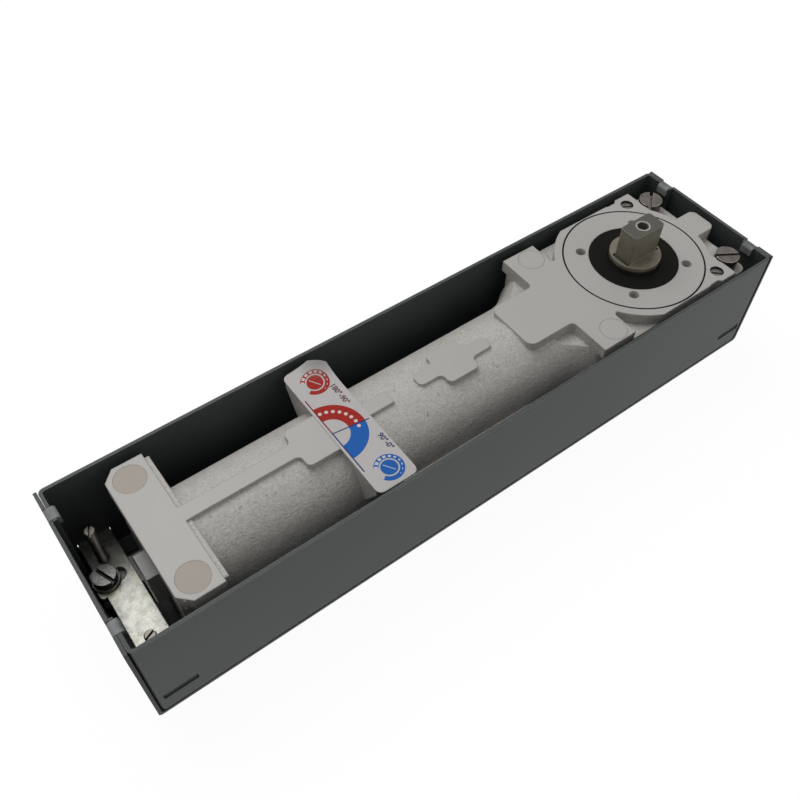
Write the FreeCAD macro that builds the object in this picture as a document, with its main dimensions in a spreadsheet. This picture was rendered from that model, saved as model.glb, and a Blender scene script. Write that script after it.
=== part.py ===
"""Floor spring: a hydraulic door closer with its cement box, which stands under the door's pivot.

Millimetres, +Z up. The origin is where the spindle's axis meets the underside of the box.
The box and the closer's barrel run towards -X, and the spindle end is at +X.
"""
import FreeCAD, Part
import math
import os
from Sketcher import Constraint

SIZES = {
    # box
    "box_length": 341.0,
    "box_width": 81.0,
    "box_height": 60.0,
    "axle_to_end": 54.2,
    "box_sheet": 1.5,
    "tray_corner": 1.2,
    "wall_bend": 2.5,
    "wrap_gap": 0.2,
    "wall_return": 16.5,
    "floor_return": 9.0,
    "end_plate_inset": 0.3,
    "hook_width": 6.0,
    "hook_spacing": 56.0,
    "hook_reach": 6.0,
    "hook_relief": 0.4,
    # crossbars
    "bar_to_end": 12.25,
    "bar_width": 14.5,
    "bar_thickness": 3.5,
    "bar_level": 12.25,
    "bar_slot_play": 0.3,
    "bar_tip_inset": 0.6,
    "bar_ear": 2.5,
    "bar_ear_width": 14.0,
    # closer body, outside
    "axis_level": 29.5,
    "body_top": 58.0,
    "ledge_level": 52.0,
    "head_bottom": 4.6,
    "head_left": 53.3,
    "head_right": 32.7,
    "head_half_width": 34.5,
    "head_corner": 5.0,
    "barrel_to_box": 25.5,
    "barrel_end_radius": 26.7,
    "barrel_head_radius": 27.5,
    "flare_corner": 63.0,
    "flare_blend": 22.0,
    "flare_shelf": 65.0,
    "shelf_blend": 6.0,
    "pad_half_width": 35.0,
    "pad_right": 34.3,
    "pocket_half": 21.0,
    "pocket_corner": 2.0,
    "lid_ring_radius": 38.4,
    "lid_ring_flat": 3.4,
    "corner_block_left": 21.7,
    "corner_block_half": 36.0,
    "tongue_left": 78.8,
    "tongue_half": 14.0,
    "tongue_corner": 4.0,
    "ledge_right": 45.7,
    "ledge_half": 34.0,
    "ledge_thickness": 8.0,
    "lug_right": 50.2,
    "lug_half": 7.5,
    "lug_corner": 3.5,
    "scoop_radius": 6.0,
    "boss_radius": 6.6,
    "foot_overhang": 1.0,
    "foot_width": 18.0,
    "foot_half": 34.5,
    "foot_thickness": 7.0,
    "foot_chamfer": 5.0,
    "foot_step": 2.0,
    "web_half_low": 25.0,
    "web_level": 37.0,
    "bridge_left": 177.3,
    "bridge_right": 160.3,
    "bridge_half": 34.0,
    "bridge_thickness": 6.0,
    "rib_half": 3.5,
    "long_rib_right": 193.3,
    "rib_pad_half": 10.3,
    "short_rib_right": 146.3,
    "cross_left": 132.3,
    "cross_pad_left": 120.8,
    "cross_pad_right": 104.3,
    "cross_right": 92.3,
    "cross_pad_half": 9.5,
    "cross_corner": 2.5,
    "pad_root": 4.5,
    "rail_half": 28.5,
    "rail_top": 36.0,
    "rail_depth": 6.0,
    "rail_front_left": 158.3,
    "rail_front_right": 88.3,
    "rail_back_left": 153.3,
    "rail_back_right": 85.3,
    "rail_back_gap_left": 121.3,
    "rail_back_gap_right": 109.3,
    "clamp_lug_bottom": 5.0,
    "clamp_lug_reach": 5.4,
    "clamp_lug_root": 24.9,
    # closer body, inside
    "bore_radius": 22.0,
    "plug_seat_radius": 23.0,
    "plug_seat_length": 12.0,
    "chamber_radius": 31.0,
    "chamber_floor": 10.0,
    "floor_boss_radius": 15.0,
    "floor_boss_top": 15.6,
    "lower_pocket_floor": 6.2,
    "seat_gap": 0.05,
    # lid, seal and bushes
    "lid_radius": 33.9,
    "lid_groove": 0.5,
    "lid_flange": 5.0,
    "lid_depth": 12.0,
    "lid_hole_radius": 2.4,
    "lid_hole_circle": 25.4,
    "lid_hole_depth": 4.0,
    "seal_radius": 21.7,
    "seal_thickness": 4.0,
    "seal_sink": 0.3,
    "seal_gap": 0.3,
    "bush_wall": 3.0,
    "ring_cord": 2.2,
    # spindle and cam
    "flange_radius": 12.3,
    "flange_top": 62.0,
    "flange_slot_half": 10.6,
    "flange_slot_depth": 1.5,
    "drive_length": 19.0,
    "drive_width": 10.3,
    "drive_top": 78.0,
    "drive_edge": 1.0,
    "upper_journal_radius": 11.5,
    "shaft_radius": 10.0,
    "lower_journal_radius": 8.0,
    "spindle_foot": 7.0,
    "cam_thickness": 12.0,
    "cam_flat_half": 8.5,
    "cam_gap": 0.3,
    "swing": 130.0,
    "swing_over": 10.0,
    "lift_per_degree": 0.1,
    "roller_start": 21.0,
    "socket_screw_radius": 4.0,
    "socket_screw_length": 12.0,
    "socket_across": 5.0,
    "socket_depth": 4.0,
    # piston group
    "roller_radius": 8.0,
    "pin_radius": 3.5,
    "fork_thickness": 5.5,
    "fork_gap": 0.4,
    "fork_half": 7.5,
    "fork_corner": 7.0,
    "piston_face": 11.5,
    "piston_length": 40.0,
    "piston_fit": 0.05,
    "piston_spigot_radius": 12.5,
    "piston_spigot_length": 8.0,
    "ring_width": 3.0,
    "ring_depth": 2.0,
    "ring_from_face": 8.0,
    "valve_cartridge_radius": 5.0,
    "valve_cartridge_length": 9.0,
    "valve_passage_radius": 1.8,
    "valve_ball_radius": 2.6,
    # spring and plug
    "wire": 6.4,
    "spring_mean_radius": 17.6,
    "spring_turns": 10.0,
    "spring_end_gap": 0.2,
    "spring_seat_thickness": 4.0,
    "spring_seat_hub": 12.5,
    "hex_across": 21.0,
    "hex_length": 5.3,
    "hex_turn": 34.0,
    "plug_groove_offset": 3.3,
    "groove_width": 2.4,
    # screws and plugs
    "screw_radius": 3.0,
    "screw_clearance": 0.3,
    "screw_head_radius": 5.8,
    "screw_head_height": 6.5,
    "screw_slot": 1.6,
    "screw_slot_depth": 2.2,
    "fixing_x": 38.7,
    "fixing_half_spacing": 25.5,
    "head_clearance": 0.6,
    "clamp_offset": 4.35,
    "clamp_y": 16.5,
    "clamp_head_radius": 5.0,
    "clamp_head_height": 4.0,
    "clamp_slot_travel": 5.2,
    "washer_radius": 5.9,
    "washer_thickness": 1.4,
    "stud_offset": 0.95,
    "stud_half_spacing": 27.0,
    "stud_radius": 2.4,
    "stud_top": 38.8,
    "stud_foot_gap": 0.1,
    "stud_slot": 1.1,
    "stud_slot_depth": 1.7,
    "valve_x": 26.0,
    "valve_half_spacing": 30.0,
    "valve_head_radius": 3.2,
    "valve_head_height": 6.0,
    "valve_sink": 1.3,
    "valve_stem_radius": 2.3,
    "valve_length": 27.0,
    "valve_fit": 0.06,
    "valve_ring_room": 1.1,
    "head_disc_x": 41.3,
    "head_disc_half_spacing": 28.0,
    "head_disc_radius": 6.3,
    "foot_disc_half_spacing": 26.0,
    "foot_disc_radius": 6.6,
    "disc_thickness": 3.0,
    # label
    "label_left": 178.3,
    "label_right": 158.8,
    "label_front_gap": 1.5,
    "label_back_gap": 4.0,
    "label_thickness": 0.3,
    "label_corner": 3.0,
}

X_AXIS = FreeCAD.Vector(1, 0, 0)
Y_AXIS = FreeCAD.Vector(0, 1, 0)
Z_AXIS = FreeCAD.Vector(0, 0, 1)

doc = FreeCAD.newDocument("FloorSpring")
sheet = doc.addObject("Spreadsheet::Sheet", "Sizes")
for row, (alias, value) in enumerate(SIZES.items(), start=1):
    sheet.set(f"A{row}", alias)
    sheet.set(f"B{row}", str(value))
    sheet.setAlias(f"B{row}", alias)
doc.recompute()


class Size:
    """A length: the text that binds a property to the sheet, and its value for what Part works out."""

    def __init__(self, text, value):
        self.text = text
        self.value = value

    def __add__(self, other):
        return Size(f"({self.text} + {text_of(other)})", self.value + value_of(other))

    def __sub__(self, other):
        return Size(f"({self.text} - {text_of(other)})", self.value - value_of(other))

    def __mul__(self, other):
        return Size(f"({self.text} * {text_of(other)})", self.value * value_of(other))

    def __truediv__(self, other):
        return Size(f"({self.text} / {text_of(other)})", self.value / value_of(other))

    def __neg__(self):
        return Size(f"(0 - {self.text})", -self.value)

    def __radd__(self, other):
        return Size(str(other), other) + self

    def __rsub__(self, other):
        return Size(str(other), other) - self

    def __rmul__(self, other):
        return Size(str(other), other) * self


class Sheet:
    """The sheet's sizes by name."""

    def __getattr__(self, alias):
        return Size(f"Sizes.{alias}", float(sheet.get(alias)))


s = Sheet()


def text_of(size):
    return size.text if isinstance(size, Size) else str(size)


def value_of(size):
    return size.value if isinstance(size, Size) else float(size)


def bind(obj, name, size):
    """Ties a property to the sheet."""
    obj.setExpression(name, text_of(size))


# Part primitives, placed by the sheet

def place(obj, x=0, y=0, z=0):
    for axis, size in zip("xyz", (x, y, z)):
        bind(obj, f"Placement.Base.{axis}", size)
    return obj


def rod(name, radius, x, y, z0, z1):
    """An upright cylinder from z0 to z1."""
    obj = doc.addObject("Part::Cylinder", name)
    bind(obj, "Radius", radius)
    bind(obj, "Height", z1 - z0)
    return place(obj, x, y, z0)


def bar(name, radius, x0, x1, y, z):
    """A cylinder along X from x0 to x1."""
    obj = doc.addObject("Part::Cylinder", name)
    bind(obj, "Radius", radius)
    bind(obj, "Height", x1 - x0)
    obj.Placement = FreeCAD.Placement(FreeCAD.Vector(), FreeCAD.Rotation(Y_AXIS, 90))
    return place(obj, x0, y, z)


def torus(name, ring, cord, x, y, z, upright=True):
    obj = doc.addObject("Part::Torus", name)
    bind(obj, "Radius1", ring)
    bind(obj, "Radius2", cord)
    if not upright:
        obj.Placement = FreeCAD.Placement(FreeCAD.Vector(), FreeCAD.Rotation(Y_AXIS, 90))
    return place(obj, x, y, z)


def fuse(name, shapes):
    obj = doc.addObject("Part::MultiFuse", name)
    obj.Shapes = shapes
    obj.Refine = True
    return obj


def cut(name, base, tools):
    tool = tools[0] if len(tools) == 1 else fuse(f"{name}_tools", tools)
    obj = doc.addObject("Part::Cut", name)
    obj.Base = base
    obj.Tool = tool
    obj.Refine = True
    return obj


# PartDesign bodies, with sketches whose points are tied to the sheet

def new_body(name):
    return doc.addObject("PartDesign::Body", name)


def sketch_on(body, name, role, offset=0, rise=0):
    """A sketch on one of the body's own planes, moved along the plane's normal and its own vertical."""
    plane = next(f for f in body.Origin.OriginFeatures if f.Role == role)
    sketch = body.newObject("Sketcher::SketchObject", name)
    sketch.AttachmentSupport = [(plane, "")]
    sketch.MapMode = "FlatFace"
    bind(sketch, "AttachmentOffset.Base.z", offset)
    bind(sketch, "AttachmentOffset.Base.y", rise)
    return sketch


def tie(sketch, constraint, size):
    index = sketch.addConstraint(constraint)
    sketch.setExpression(f"Constraints[{index}]", text_of(size))


def outline(sketch, points):
    """A closed outline through (x, y) or rounded (x, y, radius) corners, each tied to the sheet."""
    corners = []
    turning = sum(value_of(a[0]) * value_of(b[1]) - value_of(b[0]) * value_of(a[1])
                  for a, b in zip(points, points[1:] + points[:1]))
    if turning < 0:
        points = points[::-1]
    for point in points:
        centre = FreeCAD.Vector(value_of(point[0]), value_of(point[1]), 0)
        corners.append((centre, point[2] if len(point) > 2 else None))
    count = len(corners)
    starts, ends = [], []
    for i, (here, radius) in enumerate(corners):
        before = (corners[i - 1][0] - here).normalize()
        after = (corners[(i + 1) % count][0] - here).normalize()
        back = 0.0
        if radius is not None:
            half = before.getAngle(after) / 2
            back = value_of(radius) / math.tan(half)
        ends.append(here + before * back)
        starts.append(here + after * back)
    first = sketch.GeometryCount
    for i in range(count):
        sketch.addGeometry(Part.LineSegment(starts[i], ends[(i + 1) % count]), False)
    for i, (here, radius) in enumerate(corners):
        incoming = first + (i - 1) % count
        outgoing = first + i
        if radius is None:
            sketch.addConstraint(Constraint("Coincident", incoming, 2, outgoing, 1))
            tie(sketch, Constraint("DistanceX", -1, 1, outgoing, 1, here.x), points[i][0])
            tie(sketch, Constraint("DistanceY", -1, 1, outgoing, 1, here.y), points[i][1])
            continue
        before = (ends[i] - here).normalize()
        after = (starts[i] - here).normalize()
        middle = (before + after).normalize()
        half = before.getAngle(after) / 2
        centre = here + middle * (value_of(radius) / math.sin(half))
        leftward = before.cross(after).z < 0
        first_end, last_end = (ends[i], starts[i]) if leftward else (starts[i], ends[i])
        from_angle = math.atan2(first_end.y - centre.y, first_end.x - centre.x)
        to_angle = math.atan2(last_end.y - centre.y, last_end.x - centre.x)
        if to_angle < from_angle:
            to_angle += 2 * math.pi
        round_part = Part.Circle(centre, Z_AXIS, value_of(radius))
        arc = sketch.addGeometry(Part.ArcOfCircle(round_part, from_angle, to_angle), False)
        at_in, at_out = (1, 2) if leftward else (2, 1)
        corner = sketch.addGeometry(Part.Point(here), True)
        sketch.addConstraint(Constraint("Tangent", incoming, 2, arc, at_in))
        sketch.addConstraint(Constraint("Tangent", outgoing, 1, arc, at_out))
        tie(sketch, Constraint("Radius", arc, value_of(radius)), radius)
        tie(sketch, Constraint("DistanceX", -1, 1, corner, 1, here.x), points[i][0])
        tie(sketch, Constraint("DistanceY", -1, 1, corner, 1, here.y), points[i][1])
        sketch.addConstraint(Constraint("PointOnObject", corner, 1, incoming))
        sketch.addConstraint(Constraint("PointOnObject", corner, 1, outgoing))


def circle(sketch, x, y, radius):
    centre = FreeCAD.Vector(value_of(x), value_of(y), 0)
    index = sketch.addGeometry(Part.Circle(centre, Z_AXIS, value_of(radius)), False)
    tie(sketch, Constraint("DistanceX", -1, 1, index, 3, centre.x), x)
    tie(sketch, Constraint("DistanceY", -1, 1, index, 3, centre.y), y)
    tie(sketch, Constraint("Radius", index, value_of(radius)), radius)


def rectangle(sketch, x0, x1, y0, y1, radius=None):
    corners = [(x0, y0), (x1, y0), (x1, y1), (x0, y1)]
    if radius is not None:
        corners = [corner + (radius,) for corner in corners]
    outline(sketch, corners)


def feature(body, kind, name, sketch, length, down, both_ways, adds=True):
    """A feature from a sketch, checked to add to or take from the body as it should."""
    before = body.Shape.Volume if body.Tip else 0.0
    obj = body.newObject(f"PartDesign::{kind}", name)
    obj.Profile = sketch
    obj.Reversed = down
    obj.Midplane = both_ways
    bind(obj, "Length", length)
    doc.recompute()
    after = body.Shape.Volume
    if (after > before) != adds:
        raise ValueError(f"{body.Name}.{name} changed the volume from {before} to {after}")
    return obj


def pad(body, name, sketch, length, down=False, both_ways=False):
    return feature(body, "Pad", name, sketch, length, down, both_ways)


def pocket(body, name, sketch, length, down=False, both_ways=False):
    return feature(body, "Pocket", name, sketch, length, down, both_ways, adds=False)


def revolve(body, name, sketch, axis):
    """A full turn of the profile about one of its sketch's own axes."""
    obj = body.newObject("PartDesign::Revolution", name)
    obj.Profile = sketch
    obj.ReferenceAxis = (sketch, [axis])
    obj.Angle = 360
    doc.recompute()
    return obj


def round_edges(body, name, radius, chosen, kind="Fillet"):
    """Rounds or chamfers the edges of the body that a test picks out."""
    base = body.Tip
    names = [f"Edge{i}" for i, edge in enumerate(base.Shape.Edges, start=1) if chosen(edge)]
    if not names:
        raise ValueError(f"no edge of {body.Name} for {name}")
    obj = body.newObject(f"PartDesign::{kind}", name)
    obj.Base = (base, names)
    bind(obj, "Radius" if kind == "Fillet" else "Size", radius)
    doc.recompute()
    return obj


def along(edge, axis):
    """True for a straight edge that runs along the axis."""
    if not isinstance(edge.Curve, Part.Line):
        return False
    return abs(abs(edge.Curve.Direction.dot(axis)) - 1) < 1e-6


def near(value, size):
    return abs(value - value_of(size)) < 1e-3


# Places that several pieces share

BOX_RIGHT = s.axle_to_end
BOX_LEFT = s.axle_to_end - s.box_length
HALF_WIDTH = s.box_width / 2
WALL_INNER = HALF_WIDTH - s.box_sheet
BAR_RIGHT = BOX_RIGHT - s.bar_to_end
BAR_LEFT = BOX_LEFT + s.bar_to_end
BAR_TOP = s.bar_level + s.bar_thickness
END_GAP = s.box_sheet + s.wrap_gap
BARREL_END = BOX_LEFT + s.barrel_to_box
FOOT_LEFT = BARREL_END - s.foot_overhang
FOOT_RIGHT = FOOT_LEFT + s.foot_width
STUD_X = BAR_LEFT - s.stud_offset
CLAMP_X = BAR_LEFT - s.clamp_offset
nodes = {}


# Box tray: floor and end plates bent up from one strip, with hook tabs over the side walls' returns

def make_tray():
    body = new_body("box_tray")
    sketch = sketch_on(body, "tray_profile", "XZ_Plane")
    half = HALF_WIDTH - s.end_plate_inset
    corner = s.tray_corner
    outline(sketch, [
        (BOX_LEFT, corner), (BOX_LEFT + corner, 0), (BOX_RIGHT - corner, 0), (BOX_RIGHT, corner),
        (BOX_RIGHT, s.box_height), (BOX_RIGHT - s.box_sheet, s.box_height),
        (BOX_RIGHT - s.box_sheet, s.box_sheet), (BOX_LEFT + s.box_sheet, s.box_sheet),
        (BOX_LEFT + s.box_sheet, s.box_height), (BOX_LEFT, s.box_height)])
    pad(body, "strip", sketch, half * 2, both_ways=True)
    relief = sketch_on(body, "relief_outline", "YZ_Plane", BOX_LEFT)
    reach = s.hook_width / 2 + s.hook_relief
    for side in (-1, 1):
        middle = side * s.hook_spacing / 2
        rectangle(relief, middle - reach, middle + reach, s.box_height - s.hook_reach, s.box_height)
    pocket(body, "hook_reliefs", relief, s.box_length, down=True)
    for side in (-1, 1):
        middle = side * s.hook_spacing / 2
        for end, direction, word in ((BOX_LEFT, 1, "left"), (BOX_RIGHT, -1, "right")):
            hook = sketch_on(body, f"hook_{word}_{'front' if side < 0 else 'back'}", "XZ_Plane", -middle)
            crown = s.box_sheet
            inside = end + direction * s.box_sheet
            slot = inside + direction * (s.box_sheet + s.wrap_gap * 2)
            far = slot + direction * s.box_sheet
            low = s.box_height - s.hook_reach
            outline(hook, [
                (end, low), (inside, low), (inside, s.box_height - crown),
                (slot, s.box_height - crown), (slot, low + crown), (far, low + crown),
                (far, s.box_height, s.box_sheet), (end, s.box_height, s.box_sheet)])
            pad(body, f"tab_{word}_{'front' if side < 0 else 'back'}", hook, s.hook_width, both_ways=True)
    nodes["box_tray"] = body


make_tray()


# Box side walls: each bent in along its floor and at both ends, and slotted for the crossbars

def make_wall(name, side):
    body = new_body(name)
    left = BOX_LEFT + END_GAP
    right = BOX_RIGHT - END_GAP
    outer = side * HALF_WIDTH
    inner = side * (HALF_WIDTH - s.wall_return)
    low, high = (outer, inner) if side < 0 else (inner, outer)
    sketch = sketch_on(body, f"{name}_outline", "XY_Plane", s.box_sheet)
    rectangle(sketch, left, right, low, high)
    pad(body, f"{name}_blank", sketch, s.box_height - s.box_sheet)

    def bend(edge):
        middle = edge.valueAt((edge.FirstParameter + edge.LastParameter) / 2)
        upright = along(edge, Z_AXIS) and near(middle.y, outer)
        floor = along(edge, X_AXIS) and near(middle.y, outer) and near(middle.z, s.box_sheet)
        heel = along(edge, Y_AXIS) and near(middle.z, s.box_sheet)
        return upright or floor or heel

    round_edges(body, f"{name}_bends", s.wall_bend, bend)
    base = body.Tip
    open_faces = []
    for i, face in enumerate(base.Shape.Faces, start=1):
        centre = face.CenterOfMass
        if near(centre.z, s.box_height) or near(centre.y, inner):
            open_faces.append(f"Face{i}")
    shell = body.newObject("PartDesign::Thickness", f"{name}_shell")
    shell.Base = (base, open_faces)
    bind(shell, "Value", s.box_sheet)
    shell.Reversed = True
    doc.recompute()

    edge_of_return = side * (HALF_WIDTH - s.floor_return)
    low, high = (edge_of_return, inner) if side < 0 else (inner, edge_of_return)
    trim = sketch_on(body, f"{name}_trim", "XY_Plane", s.box_sheet)
    rectangle(trim, left + s.box_sheet, right - s.box_sheet, low, high)
    pocket(body, f"{name}_floor_edge", trim, s.box_sheet, down=True)

    slots = sketch_on(body, f"{name}_slots", "XZ_Plane", -outer)
    for centre in (BAR_LEFT, BAR_RIGHT):
        half = s.bar_width / 2 + s.bar_slot_play
        rectangle(slots, centre - half, centre + half, s.bar_level - s.bar_slot_play,
                  BAR_TOP + s.bar_slot_play, s.bar_slot_play * 2)
    pocket(body, f"{name}_bar_slots", slots, s.box_sheet * 2, down=side > 0)

    notch = sketch_on(body, f"{name}_notches", "YZ_Plane", BOX_LEFT)
    middle = side * s.hook_spacing / 2
    half = s.hook_width / 2 + s.wrap_gap
    rectangle(notch, middle - half, middle + half,
              s.box_height - s.box_sheet - s.wrap_gap, s.box_height)
    pocket(body, f"{name}_hook_notches", notch, s.box_length, down=True)
    nodes[name] = body


make_wall("box_wall_front", -1)
make_wall("box_wall_back", 1)


# Crossbars: flat bars with their ends in the side walls' slots

def make_bar(name, centre, holes, ear=False):
    body = new_body(name)
    half = s.bar_width / 2
    tip = HALF_WIDTH - s.bar_tip_inset
    sketch = sketch_on(body, f"{name}_outline", "XY_Plane", s.bar_level)
    if ear:
        low = s.clamp_y - s.bar_ear_width / 2
        high = s.clamp_y + s.bar_ear_width / 2
        left = centre - half
        outline(sketch, [
            (left, -tip), (centre + half, -tip), (centre + half, tip), (left, tip),
            (left, high), (left - s.bar_ear, high, s.box_sheet),
            (left - s.bar_ear, low, s.box_sheet), (left, low)])
    else:
        rectangle(sketch, centre - half, centre + half, -tip, tip)
    pad(body, f"{name}_plate", sketch, s.bar_thickness)
    drill = sketch_on(body, f"{name}_holes", "XY_Plane", s.bar_level)
    for x, y, radius in holes:
        circle(drill, x, y, radius)
    pocket(body, f"{name}_drilled", drill, s.bar_thickness, down=True)
    nodes[name] = body
    return body


make_bar("spindle_crossbar", BAR_RIGHT, [
    (s.fixing_x, side * s.fixing_half_spacing, s.screw_radius + s.seat_gap) for side in (-1, 1)])
rear_bar = make_bar("rear_crossbar", BAR_LEFT, [
    (STUD_X, side * s.stud_half_spacing, s.stud_radius + s.seat_gap) for side in (-1, 1)], ear=True)
slot_sketch = sketch_on(rear_bar, "clamp_slot_outline", "XY_Plane", s.bar_level)
slot_half = s.screw_radius + s.screw_clearance
rectangle(slot_sketch, CLAMP_X - slot_half, CLAMP_X + s.clamp_slot_travel + slot_half,
          s.clamp_y - slot_half, s.clamp_y + slot_half, s.screw_radius)
pocket(rear_bar, "clamp_slot", slot_sketch, s.bar_thickness, down=True)


# Closer body: one casting, with its barrel along X and its head round the spindle

def make_closer_body():
    body = new_body("closer_body")
    top = s.body_top
    thick = s.body_top - s.ledge_level

    barrel = sketch_on(body, "barrel_profile", "XZ_Plane", 0, s.axis_level)
    outline(barrel, [
        (BARREL_END, 0), (0, 0), (0, s.head_half_width), (-s.head_left, s.head_half_width),
        (-s.flare_corner, s.barrel_head_radius, s.flare_blend), (BARREL_END, s.barrel_end_radius)])
    revolve(body, "barrel", barrel, "H_Axis")

    shelf = sketch_on(body, "shelf_outline", "XZ_Plane")
    outline(shelf, [
        (-s.flare_shelf, s.ledge_level, s.shelf_blend), (s.box_width, s.ledge_level),
        (s.box_width, s.box_width), (-s.flare_shelf - s.shelf_blend, s.box_width)])
    pocket(body, "shelf", shelf, s.box_width, both_ways=True)
    belly = sketch_on(body, "belly_outline", "XZ_Plane")
    barrel_floor = s.axis_level - s.barrel_head_radius
    rectangle(belly, -s.flare_corner - s.flare_blend, s.box_width, -s.box_width, barrel_floor)
    pocket(body, "belly", belly, s.box_width, both_ways=True)

    head = sketch_on(body, "head_outline", "XY_Plane", s.head_bottom)
    rectangle(head, -s.head_left, s.head_right, -s.head_half_width, s.head_half_width, s.head_corner)
    pad(body, "head", head, s.ledge_level - s.head_bottom)

    ring = sketch_on(body, "lid_ring_outline", "XY_Plane", s.ledge_level)
    circle(ring, 0, 0, s.lid_ring_radius)
    pad(body, "lid_ring", ring, thick)
    flats = sketch_on(body, "lid_ring_flats_outline", "XY_Plane", s.ledge_level)
    flat = s.lid_ring_radius - s.lid_ring_flat
    for y0, y1 in ((-s.box_width, -flat), (flat, s.box_width)):
        rectangle(flats, -s.box_width, s.box_width, y0, y1)
    pocket(body, "lid_ring_flats", flats, thick, down=True)

    tongue = sketch_on(body, "tongue_outline", "XY_Plane", s.ledge_level)
    outline(tongue, [
        (-s.tongue_left, -s.tongue_half, s.tongue_corner), (-s.head_left, -s.tongue_half, s.cross_corner),
        (-s.head_left, -s.pad_half_width), (-s.pad_right, -s.pad_half_width),
        (-s.pad_right, -s.pocket_half, s.pocket_corner), (-s.pocket_half, -s.pocket_half),
        (-s.pocket_half, s.pocket_half), (-s.pad_right, s.pocket_half, s.pocket_corner),
        (-s.pad_right, s.pad_half_width), (-s.head_left, s.pad_half_width),
        (-s.head_left, s.tongue_half, s.cross_corner), (-s.tongue_left, s.tongue_half, s.tongue_corner)])
    pad(body, "tongue_and_wide_pad", tongue, thick)

    end = sketch_on(body, "end_plate_outline", "XY_Plane", s.ledge_level)
    block_start = s.corner_block_left
    block_full = block_start + s.corner_block_half - s.head_half_width
    outline(end, [
        (0, -s.head_half_width), (block_start, -s.head_half_width), (block_full, -s.corner_block_half),
        (s.head_right, -s.corner_block_half), (s.head_right, -s.lug_half, s.scoop_radius),
        (s.lug_right, -s.lug_half, s.lug_corner), (s.lug_right, s.lug_half, s.lug_corner),
        (s.head_right, s.lug_half), (s.head_right, s.corner_block_half),
        (block_full, s.corner_block_half), (block_start, s.head_half_width), (0, s.head_half_width)])
    pad(body, "end_plate", end, thick)

    ledge = sketch_on(body, "ledge_outline", "XY_Plane", s.ledge_level)
    outline(ledge, [
        (block_start, -s.ledge_half), (s.ledge_right, -s.ledge_half, s.tongue_corner),
        (s.ledge_right, -s.lug_half), (s.lug_right, -s.lug_half, s.lug_corner),
        (s.lug_right, s.lug_half, s.lug_corner), (s.ledge_right, s.lug_half),
        (s.ledge_right, s.ledge_half, s.tongue_corner), (block_start, s.ledge_half)])
    pad(body, "ledge", ledge, s.ledge_thickness, down=True)
    bosses = sketch_on(body, "boss_outlines", "XY_Plane", BAR_TOP)
    for side in (-1, 1):
        circle(bosses, s.fixing_x, side * s.fixing_half_spacing, s.boss_radius)
    pad(body, "bosses", bosses, s.ledge_level - BAR_TOP)

    foot = sketch_on(body, "foot_outline", "XY_Plane", top)
    cut_x = FOOT_LEFT + s.foot_chamfer
    cut_y = s.foot_half - s.foot_chamfer
    outline(foot, [
        (FOOT_LEFT, -cut_y), (cut_x, -s.foot_half), (FOOT_RIGHT, -s.foot_half),
        (FOOT_RIGHT, s.foot_half), (cut_x, s.foot_half), (FOOT_LEFT, cut_y)])
    pad(body, "foot", foot, s.foot_thickness, down=True)
    web = sketch_on(body, "foot_web_outline", "YZ_Plane", FOOT_LEFT + s.foot_step)
    web_top = s.body_top - s.foot_step / 2
    web_half = s.foot_half - s.foot_step
    foot_under = s.body_top - s.foot_thickness
    outline(web, [
        (-s.web_half_low, s.web_level), (s.web_half_low, s.web_level), (web_half, foot_under),
        (web_half, web_top), (-web_half, web_top), (-web_half, foot_under)])
    pad(body, "foot_web", web, s.foot_width)

    bridge = sketch_on(body, "bridge_outline", "YZ_Plane", -s.bridge_left)
    bridge_under = s.body_top - s.bridge_thickness
    outline(bridge, [
        (-s.web_half_low, s.web_level), (s.web_half_low, s.web_level), (s.bridge_half, bridge_under),
        (s.bridge_half, top), (-s.bridge_half, top), (-s.bridge_half, bridge_under)])
    pad(body, "bridge", bridge, s.bridge_left - s.bridge_right)

    ribs = sketch_on(body, "rib_outlines", "XY_Plane", top)
    outline(ribs, [
        (FOOT_RIGHT, -s.rib_half), (-s.long_rib_right, -s.rib_half, s.cross_corner),
        (-s.long_rib_right, -s.rib_pad_half, s.cross_corner), (-s.bridge_left, -s.rib_pad_half),
        (-s.bridge_left, s.rib_pad_half), (-s.long_rib_right, s.rib_pad_half, s.cross_corner),
        (-s.long_rib_right, s.rib_half, s.cross_corner), (FOOT_RIGHT, s.rib_half)])
    pad(body, "long_rib", ribs, s.pad_root, down=True)
    marks = sketch_on(body, "cross_outlines", "XY_Plane", top)
    rectangle(marks, -s.bridge_right, -s.short_rib_right, -s.rib_half, s.rib_half)
    outline(marks, [
        (-s.cross_left, -s.rib_half, s.cross_corner), (-s.cross_pad_left, -s.rib_half, s.cross_corner),
        (-s.cross_pad_left, -s.cross_pad_half, s.cross_corner),
        (-s.cross_pad_right, -s.cross_pad_half, s.cross_corner),
        (-s.cross_pad_right, -s.rib_half, s.cross_corner), (-s.cross_right, -s.rib_half, s.cross_corner),
        (-s.cross_right, s.rib_half, s.cross_corner), (-s.cross_pad_right, s.rib_half, s.cross_corner),
        (-s.cross_pad_right, s.cross_pad_half, s.cross_corner),
        (-s.cross_pad_left, s.cross_pad_half, s.cross_corner),
        (-s.cross_pad_left, s.rib_half, s.cross_corner), (-s.cross_left, s.rib_half, s.cross_corner)])
    pad(body, "cross_pad", marks, s.pad_root, down=True)

    rails = sketch_on(body, "rail_outlines", "XY_Plane", s.rail_top)
    rectangle(rails, -s.rail_front_left, -s.rail_front_right, -s.rail_half, -s.web_half_low)
    rectangle(rails, -s.rail_back_left, -s.rail_back_gap_left, s.web_half_low, s.rail_half)
    rectangle(rails, -s.rail_back_gap_right, -s.rail_back_right, s.web_half_low, s.rail_half)
    pad(body, "rails", rails, s.rail_depth, down=True)

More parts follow.
